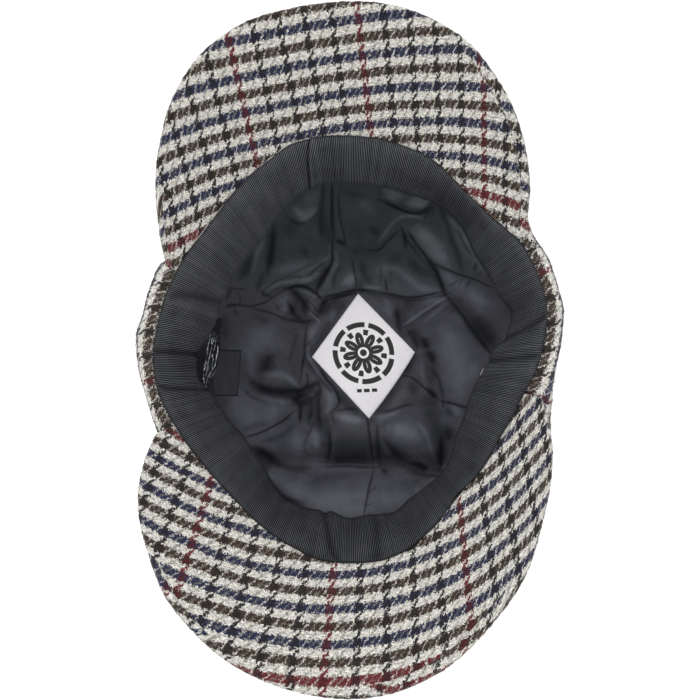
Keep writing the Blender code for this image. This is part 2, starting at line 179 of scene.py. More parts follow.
class Wire:
    # A socket that takes part in sums, each of which becomes a Math node
    def __init__(self, paint, socket):
        self.paint = paint
        self.socket = socket

    def math(self, operation, first, second=0.0):
        return self.paint.add("ShaderNodeMath", {"operation": operation}, {0: first, 1: second})

    def __add__(self, other):
        return self.math("ADD", self, other)

    def __radd__(self, other):
        return self.math("ADD", other, self)

    def __sub__(self, other):
        return self.math("SUBTRACT", self, other)

    def __rsub__(self, other):
        return self.math("SUBTRACT", other, self)

    def __mul__(self, other):
        return self.math("MULTIPLY", self, other)

    def __rmul__(self, other):
        return self.math("MULTIPLY", other, self)

    def __truediv__(self, other):
        return self.math("DIVIDE", self, other)

    def __mod__(self, other):
        return self.math("FLOORED_MODULO", self, other)

    def __lt__(self, other):
        return self.math("LESS_THAN", self, other)

    def floor(self):
        return self.math("FLOOR", self)

    def wave(self):
        # Sine of the value in whole turns
        return self.math("SINE", self * (2 * math.pi))

    def size(self):
        return self.math("ABSOLUTE", self)

    def power(self, exponent):
        return self.math("POWER", self, exponent)

    def most(self, other):
        return self.math("MAXIMUM", self, other)

    def fade(self, low, high):
        # 0 up to low, 1 from high on
        return self.paint.add("ShaderNodeMapRange", {"interpolation_type": "SMOOTHSTEP"},
                              {"Value": self, "From Min": low, "From Max": high})


class Paint:
    # A material with one Principled shader and the nodes that feed it
    def __init__(self, name, **fixed):
        self.material = bpy.data.materials.new(name)
        self.material.use_nodes = True
        self.tree = self.material.node_tree
        self.shader = self.tree.nodes["Principled BSDF"]
        for socket, value in fixed.items():
            self.shader.inputs[socket.replace("_", " ")].default_value = value

    def feed(self, socket, value):
        if isinstance(value, Wire):
            self.tree.links.new(value.socket, socket)
        else:
            socket.default_value = value

    def add(self, kind, settings=None, sockets=None, output=0):
        node = self.tree.nodes.new(kind)
        for name, value in (settings or {}).items():
            if name == "stops":
                while len(node.color_ramp.elements) < len(value):
                    node.color_ramp.elements.new(0.5)
                for element, (position, colour) in zip(node.color_ramp.elements, value):
                    element.position = position
                    element.color = colour
            elif name == "interpolation":
                node.color_ramp.interpolation = value
            else:
                setattr(node, name, value)
        for name, value in (sockets or {}).items():
            self.feed(node.inputs[name], value)
        return Wire(self, node.outputs[output])

    def mix(self, share, first, second, blend="MIX"):
        return self.add("ShaderNodeMix", {"data_type": "RGBA", "blend_type": blend},
                        {0: share, 6: first, 7: second}, 2)

    def threads(self, layer="threads"):
        # The two values of the piece's own cloth coordinates
        spot = self.add("ShaderNodeUVMap", {"uv_map": layer})
        return spot, [self.add("ShaderNodeSeparateXYZ", {}, {0: spot}, n) for n in (0, 1)]

    def vector(self, x, y, z=0.0):
        return self.add("ShaderNodeCombineXYZ", {}, {0: x, 1: y, 2: z})

    def noise(self, at, scale, detail=2.0, rough=0.5):
        return self.add("ShaderNodeTexNoise", {}, {"Vector": at, "Scale": scale,
                                                   "Detail": detail, "Roughness": rough})

    def chance(self, value):
        # One random number for each whole value
        return self.add("ShaderNodeTexWhiteNoise", {"noise_dimensions": "1D"}, {"W": value})

    def set(self, **wires):
        for socket, value in wires.items():
            self.feed(self.shader.inputs[socket.replace("_", " ")], value)

    def bump(self, height, distance, strength=1.0):
        self.set(Normal=self.add("ShaderNodeBump", {}, {"Strength": strength, "Distance": distance,
                                                         "Height": height}))


tweed = {
    "cream": ink(217, 214, 206),
    "black": ink(29, 28, 29),
    "taupe": ink(136, 135, 125),
    "red": ink(100, 26, 32),
    "navy": ink(27, 31, 64),
    "brown": ink(53, 37, 24),
    "halo": ink(158, 158, 156),
    # threads in a stripe of one colour, and repeats of the check from one red line to the next
    "group": 4,
    "redWarpEvery": 5,
    "redWeftEvery": 6,
    # half the length a warp yarn lies on top, out of four threads: pale, and more for dark and taupe
    "paleShare": 0.36,
    "darkMore": 0.86,
    "taupeMore": 0.24,
    "paleStrength": 0.92,
    "taupeHidden": 0.15,
    "slant": 0.8,
    "unevenness": 1.3,
    "softness": 0.22,
    # how much two dark yarns blend where they cross, what the warp then shows, and how dark it is
    "blend": 0.75,
    "blendOver": 0.55,
    "blockShade": 0.50,
    "darkSpread": (0.10, 0.08),
    # scale, reach and detail of the uneven spacing of the yarns
    "endWander": [(0.11, 1.5, 2.0), (0.45, 3.6, 3.0), (1.2, 3.6, 3.0)],
    "pickWander": [(0.13, 1.3, 2.0), (0.5, 2.8, 3.0), (1.3, 4.0, 3.0)],
    # painted light and shade of the yarns' roundness and the grooves, and light and dark of the tufts and the
    # fibres along the weft
    "roundShade": 0.05,
    "grooveShade": 0.12,
    "tuftShade": 2.0,
    "fibreShade": 2.8,
    # share of pale hairs and of dark ones over the colours
    "paleHair": 0.34,
    "darkHair": 0.55,
    "yarnDepth": 0.00025,
}


def tweedPaint():
    # The cloth coordinates count warp threads across and weft threads up
    paint = Paint("tweed", Roughness=0.95, Sheen_Weight=0.1, Sheen_Roughness=0.6,
                  Specular_IOR_Level=0.2)
    at, (ends, picks) = paint.threads()

    def wander(value, rows):
        for scale, reach, detail in rows:
            value = value + (paint.noise(at, scale, detail) - 0.5) * reach
        return value

    group = tweed["group"]
    end = wander(ends + group / 2, tweed["endWander"])
    pick = wander(picks + group / 2, tweed["pickWander"])
    # dark yarns are thicker, so each dark group takes room from the pale ones
    end = end - ((end - group / 2) / (2 * group)).wave() * tweed["darkSpread"][0]
    pick = pick - ((pick - group / 2) / (2 * group)).wave() * tweed["darkSpread"][1]
    endNumber, pickNumber = end.floor(), pick.floor()
    acrossPick = pick - pickNumber

    def colours(number, dark, pale, every):
        quarter = ((number / group).floor() % 4 + 0.5) / 4
        stops = [(0.0, tweed[dark]), (0.25, tweed["cream"]), (0.5, tweed[pale]), (0.75, tweed["cream"])]
        plain = paint.add("ShaderNodeValToRGB", {"interpolation": "CONSTANT", "stops": stops}, {0: quarter})
        repeat = (number / (4 * group)).floor() % every
        first, third = quarter < 0.2, (quarter - 0.625).size() < 0.1
        return paint.mix((repeat < 0.5) * first, plain, tweed["red"]), first, third

    warpColour, warpDark, warpTaupe = colours(endNumber, "black", "taupe", tweed["redWarpEvery"])
    weftColour, weftNavy, weftBrown = colours(pickNumber, "navy", "brown", tweed["redWeftEvery"])
    weftDark = weftNavy + weftBrown
    # each warp yarn passes over the weft one thread later than its neighbour does
    passing = (end - pickNumber - (acrossPick - 0.5) * tweed["slant"]) % group
    share = tweed["paleShare"] + warpDark * tweed["darkMore"]
    share = share + warpTaupe * (1 - weftDark) * tweed["taupeMore"]
    edge = (passing - 1).size() - share + (paint.noise(at, 1.1, 3.0) - 0.5) * tweed["unevenness"]
    warpOver = 1 - edge.fade(-tweed["softness"], tweed["softness"])
    warpOver = warpOver * (tweed["paleStrength"] + warpDark * (1 - tweed["paleStrength"]))
    warpOver = warpOver * (1 - warpTaupe * weftDark * tweed["taupeHidden"])
    # where two dark yarns cross, the eye sees one dark block
    block = warpDark * weftDark * tweed["blend"]
    warpOver = warpOver * (1 - block) + block * tweed["blendOver"]
    colour = paint.mix(warpOver, weftColour, warpColour)
    # each yarn is round, and the weft dips where a warp thread crosses it; both are painted as light and
    # shade in the colour, and bumped too
    away = (acrossPick - 0.5).size() * 2
    lift = 1 - away * away * (1 - warpOver)
    groove = 1 - edge.size().fade(0.0, 0.25)
    tuft = paint.noise(at, 1.5, 3.0, 0.75)
    streak = paint.noise(paint.vector(ends * 0.42 + picks * 0.1, picks * 1.25), 1.0, 3.0, 0.7)
    shade = 1 - tweed["roundShade"] + tweed["roundShade"] * lift - groove * tweed["grooveShade"]
    shade = shade + (tuft - 0.5) * tweed["tuftShade"] + (streak - 0.5) * tweed["fibreShade"]
    shade = shade * (1 - block * tweed["blockShade"])
    colour = paint.mix(1.0, colour, paint.vector(shade, shade, shade), "MULTIPLY")
    hair = paint.noise(paint.vector(ends * 0.7 + picks * 0.3, picks * 0.5), 1.2, 3.0, 0.75)
    colour = paint.mix(hair.fade(0.50, 0.74) * (1 - block) * tweed["paleHair"], colour, tweed["halo"])
    dark = paint.noise(paint.vector(ends * 0.5 - picks * 0.25, picks * 0.9), 1.1, 3.0, 0.7)
    colour = paint.mix(dark.fade(0.54, 0.74) * tweed["darkHair"], colour, tweed["black"])
    paint.set(Base_Color=colour)
    paint.bump(lift * 0.6 + tuft * 0.9 - groove * 0.4, tweed["yarnDepth"], 0.9)
    return paint.material


satin = {
    "warm": ink(70, 71, 77),
    "cool": ink(59, 63, 66),
    "coolFrom": (33.0, 66.0),
    "shadow": ink(10, 12, 20),
    "thread": 0.28,
    "creaseDark": 0.99,
    "ridgeLight": 1.4,
    "cloud": 0.62,
    "grain": 0.65,
    "rough": 0.46,
    "roughChange": 0.12,
}


def satinPaint():
    # The cloth coordinates are millimetres in plan
    paint = Paint("lining satin", Specular_IOR_Level=0.12)
    at, (x, y) = paint.threads()
    cloud = paint.noise(at, 0.10, 5.0, 0.6)
    colour = paint.mix(y.fade(*satin["coolFrom"]), satin["warm"], satin["cool"])
    # painted shade in the lining's creases and painted highlight on its ridges, from the second layer of
    # corner values
    crease, ridge = paint.threads("depths")[1]
    grain = paint.noise(at, 1.5, 2.0, 0.7)
    tone = 1 + (cloud - 0.5) * satin["cloud"] + (grain - 0.5) * satin["grain"]
    tone = tone * (1 + ridge * satin["ridgeLight"])
    colour = paint.mix(1.0, colour, paint.vector(tone, tone, tone), "MULTIPLY")
    paint.set(Base_Color=paint.mix(crease * satin["creaseDark"], colour, satin["shadow"]),
              Roughness=satin["rough"] + (cloud - 0.5) * satin["roughChange"])
    fine = (x / satin["thread"]).wave() * 0.5 + (y / satin["thread"]).wave() * 0.25
    soft = paint.noise(at, 0.22, 2.0, 0.5)
    paint.bump(fine * 0.05 + soft * 0.8 + grain * 0.15, 0.0006, 0.5)
    return paint.material


ribbon = {
    "dark": ink(5, 6, 10),
    "light": ink(115, 117, 122),
    "cross": 0.5,
    "ribs": 660,
    # sharpness, strength and patchiness of the painted highlight on the rib crests
    "crest": 3.5,
    "crestLight": 0.80,
    "patchyHighlight": 0.9,
    "ribChange": 0.10,
    "crossLight": 0.04,
    "grain": 0.30,
    # how much the ring is painted lighter toward +Y and darker toward -Y as sheen, then the painted shade in
    # creases and the painted highlight on ridges
    "aroundChange": 0.26,
    "creaseDark": 0.85,
    "ridgeLight": 0.12,
}


def ribbonPaint():
    # x counts the ribs, y is millimetres along them
    paint = Paint("band ribbon", Roughness=0.8, Specular_IOR_Level=0.14)
    rib, run = paint.threads()[1]
    number = (rib + 0.5).floor()
    plain = paint.vector(rib * 0.86, run)
    # painted highlight on the crest of each rib and painted shade in its trough, stronger in some patches
    # than others
    crest = (rib + 0.25).wave() * 0.5 + 0.5
    tone = paint.chance(number)
    patchyHighlight = paint.noise(plain, 0.10, 3.0)
    # painted sheen: the ring is lighter toward +Y and darker toward -Y
    around = (rib / ribbon["ribs"]).wave()
    share = crest.power(ribbon["crest"]) * (ribbon["crestLight"] + (patchyHighlight - 0.5) * ribbon["patchyHighlight"])
    share = (share + (tone - 0.5) * ribbon["ribChange"]) * (1 + around * ribbon["aroundChange"])
    cross = (run / ribbon["cross"] + number * 0.5).wave()
    share = share + cross * ribbon["crossLight"] + (paint.noise(plain, 1.5, 2.0) - 0.5) * ribbon["grain"]
    # painted shade along the turn at the rim, in the creases and under the lap of the join, and painted
    # highlight on the band's edges
    crease, ridge = paint.threads("depths")[1]
    share = share * (1 - crease * ribbon["creaseDark"]) + ridge * ribbon["ridgeLight"]
    paint.set(Base_Color=paint.mix(share, ribbon["dark"], ribbon["light"]))
    paint.bump(cross * 0.35 + paint.noise(plain, 1.6, 2.0), 0.00012, 0.6)
    return paint.material


def plainPaint(name, colour, roughness, grain=0.6, change=0.15, **fixed):
    paint = Paint(name, Roughness=roughness, **fixed)
    cloud = paint.noise(paint.add("ShaderNodeTexCoord", {}, {}, 3), 900.0 * grain, 3.0)
    darker = tuple(level * (1 - change) for level in colour[:3]) + (1.0,)
    lighter = tuple(min(level * (1 + change), 1.0) for level in colour[:3]) + (1.0,)
    paint.set(Base_Color=paint.mix(cloud, darker, lighter))
    paint.bump(cloud, 0.00008, 0.4)
    return paint.material


label = {
    "white": ink(252, 249, 252),
    "print": ink(17, 15, 19),
    "raised": 1.2,
    # how far its corners lie off a true diamond, and how far its lower right side bows out
    "leftRaised": 1.4,
    "rightLowered": 1.0,
    "tipLowered": 0.9,
    "bulge": 1.1,
    "soft": 0.12,
    "speckle": 0.30,
    "half": (28.5, 34.3),
    "centre": (7.5, 5.6),
    "turn": 5.0,
    "seat": 12.0,
    "above": 1.05,
    "thickness": 0.45,
    "uneven": 0.25,
    "edgeDrop": 0.35,
    "points": 61,
    "cut": {"flat": (0.057, 0.070), "area": 0.0020, "held": "laid", "rests_on": ["lining_satin"]},
}


rosette = {
    # radii of a plain flower of eight petals, its eye, the veins and the leaves round it
    "petals": 8,
    "flower": (4.6, 11.6),
    "eye": (1.9, 3.1),
    "veins": (5.6, 8.6),
    "leaves": (9.8, 12.9),
    "ring": (14.2, 17.0),
    # how far below lies the row of bars, half its height and its width, and how far apart they are
    "bars": (20.4, 0.8, 5.2, 4.2),
    "strength": 0.97,
}


def labelPaint():
    # White satin with a large plain rosette, a broken ring round it and three bars below
    paint = Paint("label satin", Roughness=0.5, Specular_IOR_Level=0.15)
    at, (u, v) = paint.threads()
    v = v - label["raised"]
    away = (u * u + v * v).power(0.5)
    turn = paint.add("ShaderNodeMath", {"operation": "ARCTAN2"}, {0: v, 1: u})
    turns = turn * (rosette["petals"] / (2 * math.pi))
    petals = turns.wave() * 0.5 + 0.5
    buds = (turns + 0.5).wave() * 0.5 + 0.5
    soft = label["soft"]

    def disc(radius):
        return 1 - (away - radius).fade(-soft, soft)

    def ringOf(name):
        return disc(rosette[name][1]) - disc(rosette[name][0])

    near, far = rosette["flower"]
    flower = disc(near + (far - near) * petals.power(0.40)) - ringOf("eye")
    veins = ringOf("veins") * petals.fade(0.992, 0.998)
    leaves = ringOf("leaves") * buds.fade(0.74, 0.84)
    ring = ringOf("ring") * petals.fade(0.04, 0.10)
    below, halfTall, halfWide, apart = rosette["bars"]
    bars = 1 - (v + below).size().fade(halfTall, halfTall + 2 * soft)
    bars = bars * (1 - u.size().fade(halfWide, halfWide + 2 * soft))
    bars = bars * (u / apart + 0.25).wave().fade(-0.75, -0.55)
    printed = (flower * (1 - veins)).most(leaves).most(ring).most(bars)
    weave = (u * 1.9).wave() * 0.5 + (v * 1.9).wave() * 0.5
    speck = paint.noise(at, 0.9, 3.0, 0.7)
    shade = 1.0 + 0.04 * weave + (speck - 0.5) * label["speckle"]
    white = paint.mix(1.0, label["white"], paint.vector(shade, shade, shade), "MULTIPLY")
    paint.set(Base_Color=paint.mix(printed * rosette["strength"], white, label["print"]))
    paint.bump(weave * 0.2 + paint.noise(at, 0.25, 2.0), 0.0003, 0.35)
    return paint.material


tag = {
    "ground": ink(15, 17, 26),
    "plain": ink(43, 44, 49),
    "thread": ink(170, 173, 178),
    "half": 11.5,
    "long": 15.0,
    "gloss": 0.2,
    "weave": 2.6,
    # how far the silver lines wander, how many lie in a millimetre, and where they end
    "wander": 7.0,
    "lines": 0.38,
    "linesEnd": (10.0, 15.0),
}


def tagPaint(striped):
    # Black label satin, or the woven loop with its plain silver lines along the length
    paint = Paint("striped tag" if striped else "plain tag", Roughness=0.5,
                  Specular_IOR_Level=tag["gloss"])
    at, (u, v) = paint.threads()
    weave = (u * tag["weave"]).wave() * 0.5 + (v * tag["weave"]).wave() * 0.5
    ground = tag["ground"] if striped else tag["plain"]
    colour = paint.mix(0.5 + 0.3 * weave, tuple(c * 0.8 for c in ground[:3]) + (1.0,), ground)
    if striped:
        bent = v + (paint.noise(paint.vector(u * 0.5, v), 0.30, 3.0) - 0.5) * tag["wander"]
        lines = (bent * tag["lines"] + 0.1).wave().fade(0.40, 0.95)
        broken = paint.noise(paint.vector(u * 0.45, v * 1.6), 1.0, 3.0).fade(0.40, 0.58)
        middle = 1 - (u - 4).size().fade(*tag["linesEnd"])
        colour = paint.mix(lines * broken * middle, colour, tag["thread"])
    else:
        # painted shade along the plain label's sides and, fainter, along its far end
        side = u.size().fade(tag["half"] - 1.0, tag["half"] - 0.5)
        endShade = v.fade(tag["long"] - 1.1, tag["long"] - 0.5) * 0.35
        colour = paint.mix(side.most(endShade), colour, tag["ground"])
    paint.set(Base_Color=colour)
    paint.bump(weave * 0.3 + paint.noise(at, 0.5, 2.0), 0.0003, 0.4)
    return paint.material


finishes = {
    "tweed": tweedPaint(),
    "satin": satinPaint(),
    "ribbon": ribbonPaint(),
    "label": labelPaint(),
    "plainTag": tagPaint(False),
    "stripedTag": tagPaint(True),
    "fuzz": plainPaint("wool fuzz", ink(176, 174, 166), 0.9, 0.3, 0.35, Sheen_Weight=0.2),
    "darkThread": plainPaint("dark thread", ink(26, 27, 30), 0.6),
    "paleThread": plainPaint("pale thread", ink(214, 213, 210), 0.7),
    "tape": plainPaint("flap tape", ink(58, 54, 50), 0.85),
}
print("finishes made:", len(finishes))


def place(points):
    # Millimetres about the rim's middle to metres in the frame
    return (np.asarray(points, float).reshape(-1, 3) - (*hat["centre"], 0.0)) * 0.001


def makePiece(name, points, faces, corners, finish, slot=None, replaces=(), depths=None, cut=None):
    # corners gives the cloth coordinates of each corner of each face in turn, and the second layer of
    # corner values the painted shade in a crease and the painted highlight on a ridge. cut says the flat size
    # of a cloth and how it is held.
    mesh = bpy.data.meshes.new(name)
    mesh.from_pydata(place(points).tolist(), [], [list(face) for face in faces])
    layer = mesh.uv_layers.new(name="threads")
    layer.data.foreach_set("uv", np.asarray(corners, np.float32).ravel())
    if depths is not None:
        layer = mesh.uv_layers.new(name="depths")
        layer.data.foreach_set("uv", np.asarray(depths, np.float32).ravel())
    mesh.shade_smooth()
    mesh.materials.append(finishes[finish])
    piece = bpy.data.objects.new(name, mesh)
    bpy.context.collection.objects.link(piece)
    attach(piece, "root")
    if replaces:
        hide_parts(*replaces)
    return piece


def gridFaces(rows, columns, start, ring, flip):
    row = np.arange(rows if ring else rows - 1)[:, None]
    column = np.arange(columns - 1)[None, :]
    following = (row + 1) % rows
    corners = [row * columns + column, row * columns + column + 1,
               following * columns + column + 1, following * columns + column]
    faces = np.stack([corner + start for corner in corners], -1).reshape(-1, 4)
    return faces[:, ::-1] if flip else faces


def makeSheet(name, front, back, threads, finish, backThreads=None, other=None, otherFrom=None,
              ring=False, depths=None, **rest):
    # A solid between two grids of points of one size. front is seen with its rows running up and
    # its columns to the right. Faces from column otherFrom on take the threads in other.
    rows, columns = front.shape[:2]
    count = rows * columns
    backThreads = threads if backThreads is None else backThreads
    points = np.concatenate([front.reshape(-1, 3), back.reshape(-1, 3)])
    uv = np.concatenate([threads.reshape(-1, 2), backThreads.reshape(-1, 2)])
    faces = [gridFaces(rows, columns, 0, ring, False), gridFaces(rows, columns, count, ring, True)]
    lines = np.arange(rows if ring else rows - 1)
    following = (lines + 1) % rows
    for column, flip in ((0, False), (columns - 1, True)):
        a, b = following * columns + column, lines * columns + column
        side = np.stack([a, a + count, b + count, b], -1)
        faces.append(side[:, ::-1] if flip else side)
    if not ring:
        for row, flip in ((0, True), (rows - 1, False)):
            a = row * columns + np.arange(columns - 1)
            side = np.stack([a, a + 1, a + 1 + count, a + count], -1)
            faces.append(side[:, ::-1] if flip else side)
    corners = [uv[group] for group in faces]
    if other is not None:
        swap = (faces[0] % columns).min(axis=1) >= otherFrom
        corners[0][swap] = other.reshape(-1, 2)[faces[0][swap]]
    faces, corners = np.concatenate(faces), np.concatenate(corners)
    if depths is not None:
        depths = np.tile(depths.reshape(-1, 2), (2, 1))[faces]
    return makePiece(name, points, faces, corners, finish, depths=depths, **rest)


def strands(name, roots, ways, lengths, width, bend, finish, seed, **rest):
    # Loose fibres, each a thin curved ribbon of two quads
    chance = np.random.default_rng(seed)
    count = len(roots)
    ways = ways / np.linalg.norm(ways, axis=1)[:, None]
    side = np.cross(ways, chance.normal(size=(count, 3)))
    side /= np.linalg.norm(side, axis=1)[:, None]
    curl = np.cross(side, ways) * (bend * lengths * chance.normal(size=count))[:, None]
    points = []
    for share, thin in ((0.0, 1.0), (0.5, 0.8), (1.0, 0.25)):  # along its length, of its width
        middle = roots + ways * (lengths * share)[:, None] + curl * share ** 2
        points += [middle - side * width * thin / 2, middle + side * width * thin / 2]
    points = np.stack(points, 1).reshape(-1, 3)
    base = np.arange(count)[:, None] * 6
    faces = np.concatenate([base + [0, 1, 3, 2], base + [2, 3, 5, 4]])
    return makePiece(name, points, faces, np.zeros((len(faces) * 4, 2)), finish, **rest)


fuzz = {
    # fibres on each square centimetre of cloth and on each centimetre of edge, their sizes, how far
    # they stand up, the share of dark ones and the lowest height at which one may start
    "cover": 26.0,
    "edge": 60.0,
    "length": (0.5, 2.2),
    "edgeLength": (0.4, 2.2),
    "width": 0.085,
    "bend": 0.35,
    "lift": 0.28,
    "darkShare": 0.35,
    "lowest": 3.0,
    # how far roots lie off an edge along each axis, and how much the fibres there splay
    "edgeSpread": (0.15, 0.15, 0.6),
    "edgeSplay": 0.7,
}


def makeFuzz(name, grid, edge, seed):
    # Wool fibres standing off a cloth, whose points are in rows and columns, and off its edge
    chance = np.random.default_rng(seed)
    along1, along2 = grid[1:, :-1] - grid[:-1, :-1], grid[:-1, 1:] - grid[:-1, :-1]
    normal = np.cross(along2, along1)
    area = np.linalg.norm(normal, axis=2)
    normal = normal / np.maximum(area, 1e-9)[..., None]
    count = int(area.sum() / 100 * fuzz["cover"])
    cell = chance.choice(area.size, count, p=(area / area.sum()).ravel())
    share1, share2 = chance.random((2, count, 1))
    roots = grid[:-1, :-1].reshape(-1, 3)[cell] + along1.reshape(-1, 3)[cell] * share1
    roots = roots + along2.reshape(-1, 3)[cell] * share2
    ways = chance.normal(size=(count, 3))
    facing = normal.reshape(-1, 3)[cell]
    ways -= facing * (ways * facing).sum(1)[:, None]
    ways = ways / np.linalg.norm(ways, axis=1)[:, None] + facing * fuzz["lift"]
    lengths = chance.uniform(*fuzz["length"], count)
    if len(edge):
        run = np.linalg.norm(np.diff(edge, axis=0), axis=1)
        number = int(run.sum() / 10 * fuzz["edge"])
        at = chance.choice(len(run), number, p=run / run.sum())
        middle = edge.mean(0) * (0.0, 0.0, 1.0)
        spots = edge[at] + (edge[at + 1] - edge[at]) * chance.random((number, 1))
        spots = spots + chance.normal(size=(number, 3)) * fuzz["edgeSpread"]
        away = (spots - middle) * (1.0, 1.0, 0.0)
        away = away / np.linalg.norm(away, axis=1)[:, None]
        away = away + chance.normal(size=(number, 3)) * fuzz["edgeSplay"]
        roots, ways = np.concatenate([roots, spots]), np.concatenate([ways, away])
        lengths = np.concatenate([lengths, chance.uniform(*fuzz["edgeLength"], number)])
    clear = roots[:, 2] > fuzz["lowest"]
    roots, ways, lengths = roots[clear], ways[clear], lengths[clear]
    dark = chance.random(len(roots)) < fuzz["darkShare"]
    for finish, chosen, which in (("fuzz", ~dark, "pale"), ("darkThread", dark, "dark")):
        strands(f"{name}_fuzz_{which}", roots[chosen], ways[chosen], lengths[chosen], fuzz["width"],
                fuzz["bend"], finish, seed + chosen.sum())


peaks = {
    "back_peak": {
        "pitch": 37.0,
        "middle": 120.0,
        "reach": [
            # angle, reach beyond the rim in plan
            (29.5, 5.5), (36, 10.0), (42, 20.0), (50, 30.5), (60, 40.5), (70, 47.0), (85, 50.5),
            (100, 50.0), (115, 49.0), (125, 43.5), (135, 33.0), (145, 20.0), (155.5, 6.0),
        ],
        # threads as sums of 1, x, y, x*x, x*y, x*x*x and x*x*y, with x and y in units of 50 mm
        "ends": (-10.0, 71.4, 11.3, 3.0, -4.1, 1.7, 0.0),
        "picks": (53.0, -6.7, 62.5, 6.8, 0.0, 0.5, -3.2),
        # angle, width of the strip of outer cloth that rolls over the edge, how much its check is off
        "roll": [
            (29.5, 3.8, 1), (62, 3.6, 1), (70, 2.4, 0), (140, 1.6, 0), (146, 1.6, 1), (155.5, 1.6, 1),
        ],
        "seed": 11,
    },
    "front_peak": {
        "pitch": 35.0,
        "middle": -120.0,
        "reach": [
            # angle, reach beyond the rim in plan
            (203.5, 9.0), (210, 21.0), (217, 31.0), (225, 39.0), (235, 47.0), (247, 51.0), (260, 52.0),
            (275, 51.5), (290, 47.5), (305, 42.5), (318, 33.0), (332, 23.0), (346, 8.0),
        ],
        "ends": (11.7, 63.8, -4.3, 2.9, 7.1, 0.3, 0.0),
        "picks": (23.9, -3.7, 60.6, -13.5, 0.0, -1.6, -1.4),
        "roll": [
            (203.5, 1.6, 0), (228, 1.8, 0), (232, 2.0, 1), (241, 2.0, 1), (246, 1.8, 0),
            (272, 2.4, 0), (277, 3.4, 1), (298, 3.4, 1), (305, 2.4, 0), (346, 1.6, 0),
        ],
        "seed": 12,
    },
}
peakShape = {
    "sink": 0.5,
    "thickness": 4.0,
    "hornThickness": 2.0,
    "hornShare": 0.06,
    "edgeRound": 1.5,
    "edgeTurn": 86,
    "rootInset": 0.3,
    "rootRun": 1.0,
    "sections": 300,
    # across the inner cloth, across the rolled strip and round the edge
    "columns": (40, 9, 9),
    # columns that carry fuzz, and the one whose line is the edge
    "fuzzColumns": slice(2, -8),
    "edgeColumn": -4,
    "seamDepth": 0.5,
    "seamWidth": 0.45,
    "stripDrop": 0.2,
    "outerShift": (5.5, 6.5),
    "fray": 0.3,
    # size and height of the cloth's unevenness, and how far from the root it is full
    "uneven": [(21, 0.45), (8, 0.16)],
    "unevenFrom": 6,
}


def peakThreads(peak, x, y):
    x, y = x / 50, (y - peak["middle"]) / 50
    terms = (1 + 0 * x, x, y, x * x, x * y, x * x * x, x * x * y)
    return np.stack([sum(share * term for share, term in zip(peak[way], terms))
                     for way in ("ends", "picks")], -1)


def makePeak(name):
    peak, shape = peaks[name], peakShape
    first, last = peak["reach"][0][0], peak["reach"][-1][0]
    part = np.linspace(0, 1, shape["sections"])[:, None]
    angle = first + (last - first) * part
    pitch = math.radians(peak["pitch"])
    horn = np.minimum(np.minimum(part, 1 - part), shape["hornShare"]) / shape["hornShare"]
    full = shape["hornThickness"] + (shape["thickness"] - shape["hornThickness"]) * horn
    root = rimRadius(angle) - shape["rootInset"]
    wide = rimRadius(angle) + cubic(peak["reach"], 1, angle) - 0.75 * full * math.sin(pitch) - root
    wide = wide + ripple(angle / 0.9, 0 * angle + 5, peak["seed"] + 3) * shape["fray"]
    flatEnd = wide / math.cos(pitch) - shape["edgeRound"]
    seam = flatEnd - cubic(peak["roll"], 1, angle)
    offCheck = cubic(peak["roll"], 2, angle)
    inside, strip, edge = shape["columns"]
    way = np.linspace(0, 1, strip)[None, 1:]
    turn = np.radians(np.linspace(0, shape["edgeTurn"], edge))[None, 1:]
    out = np.concatenate([seam * np.linspace(0, 1, inside)[None, :], seam + (flatEnd - seam) * way,
                          flatEnd + shape["edgeRound"] * np.sin(turn)], 1)
    unrolled = np.concatenate([out[:, :inside + strip - 1], flatEnd + full / 2 * turn], 1)
    rise = np.concatenate([full / 2 + 0 * out[:, :inside + strip - 1], full / 2 * np.cos(turn)], 1)
    fromSeam = out - seam
    x, y = polar(angle, root + out * math.cos(pitch), 0)[..., :2].transpose(2, 0, 1)
    loose = sum(ripple(x / size, y / size, peak["seed"] + number) * tall
                for number, (size, tall) in enumerate(shape["uneven"])) * ramp(out, 0, shape["unevenFrom"])
    crease = shape["seamDepth"] * bell(fromSeam, shape["seamWidth"])
    crease = offCheck * (crease - shape["stripDrop"] * ramp(fromSeam, 0.2, 1.0))
    faces = {}
    for face, side in (("inner", 1), ("outer", -1)):
        offset = side * rise - full / 2 + loose - (crease if side > 0 else 0)
        radius = root + out * math.cos(pitch) - offset * math.sin(pitch)
        height = hat["rimHeight"] - shape["sink"] + (out - shape["rootRun"]) * math.sin(pitch)
        faces[face] = polar(angle, radius, height + offset * math.cos(pitch))
    flatX, flatY = polar(angle, root + unrolled * math.cos(pitch), 0)[..., :2].transpose(2, 0, 1)
    threads = peakThreads(peak, flatX, flatY)
    rolled = threads + np.array(shape["outerShift"]) * offCheck[..., None]
    outline = (faces["inner"] + faces["outer"])[:, shape["edgeColumn"]] / 2
    makeFuzz(name, faces["inner"][::-1, shape["fuzzColumns"]], outline, peak["seed"])
    makeFuzz(name + "_under", faces["outer"][:, shape["fuzzColumns"]], [], peak["seed"] + 50)
    return makeSheet(name + "_cloth", faces["inner"][::-1], faces["outer"][::-1], threads[::-1],
                     "tweed", backThreads=rolled[::-1], other=rolled[::-1], otherFrom=inside - 1,
                     slot="tweed", replaces=[name])


for peakName in peaks:
    makePeak(peakName)
print("peaks made")


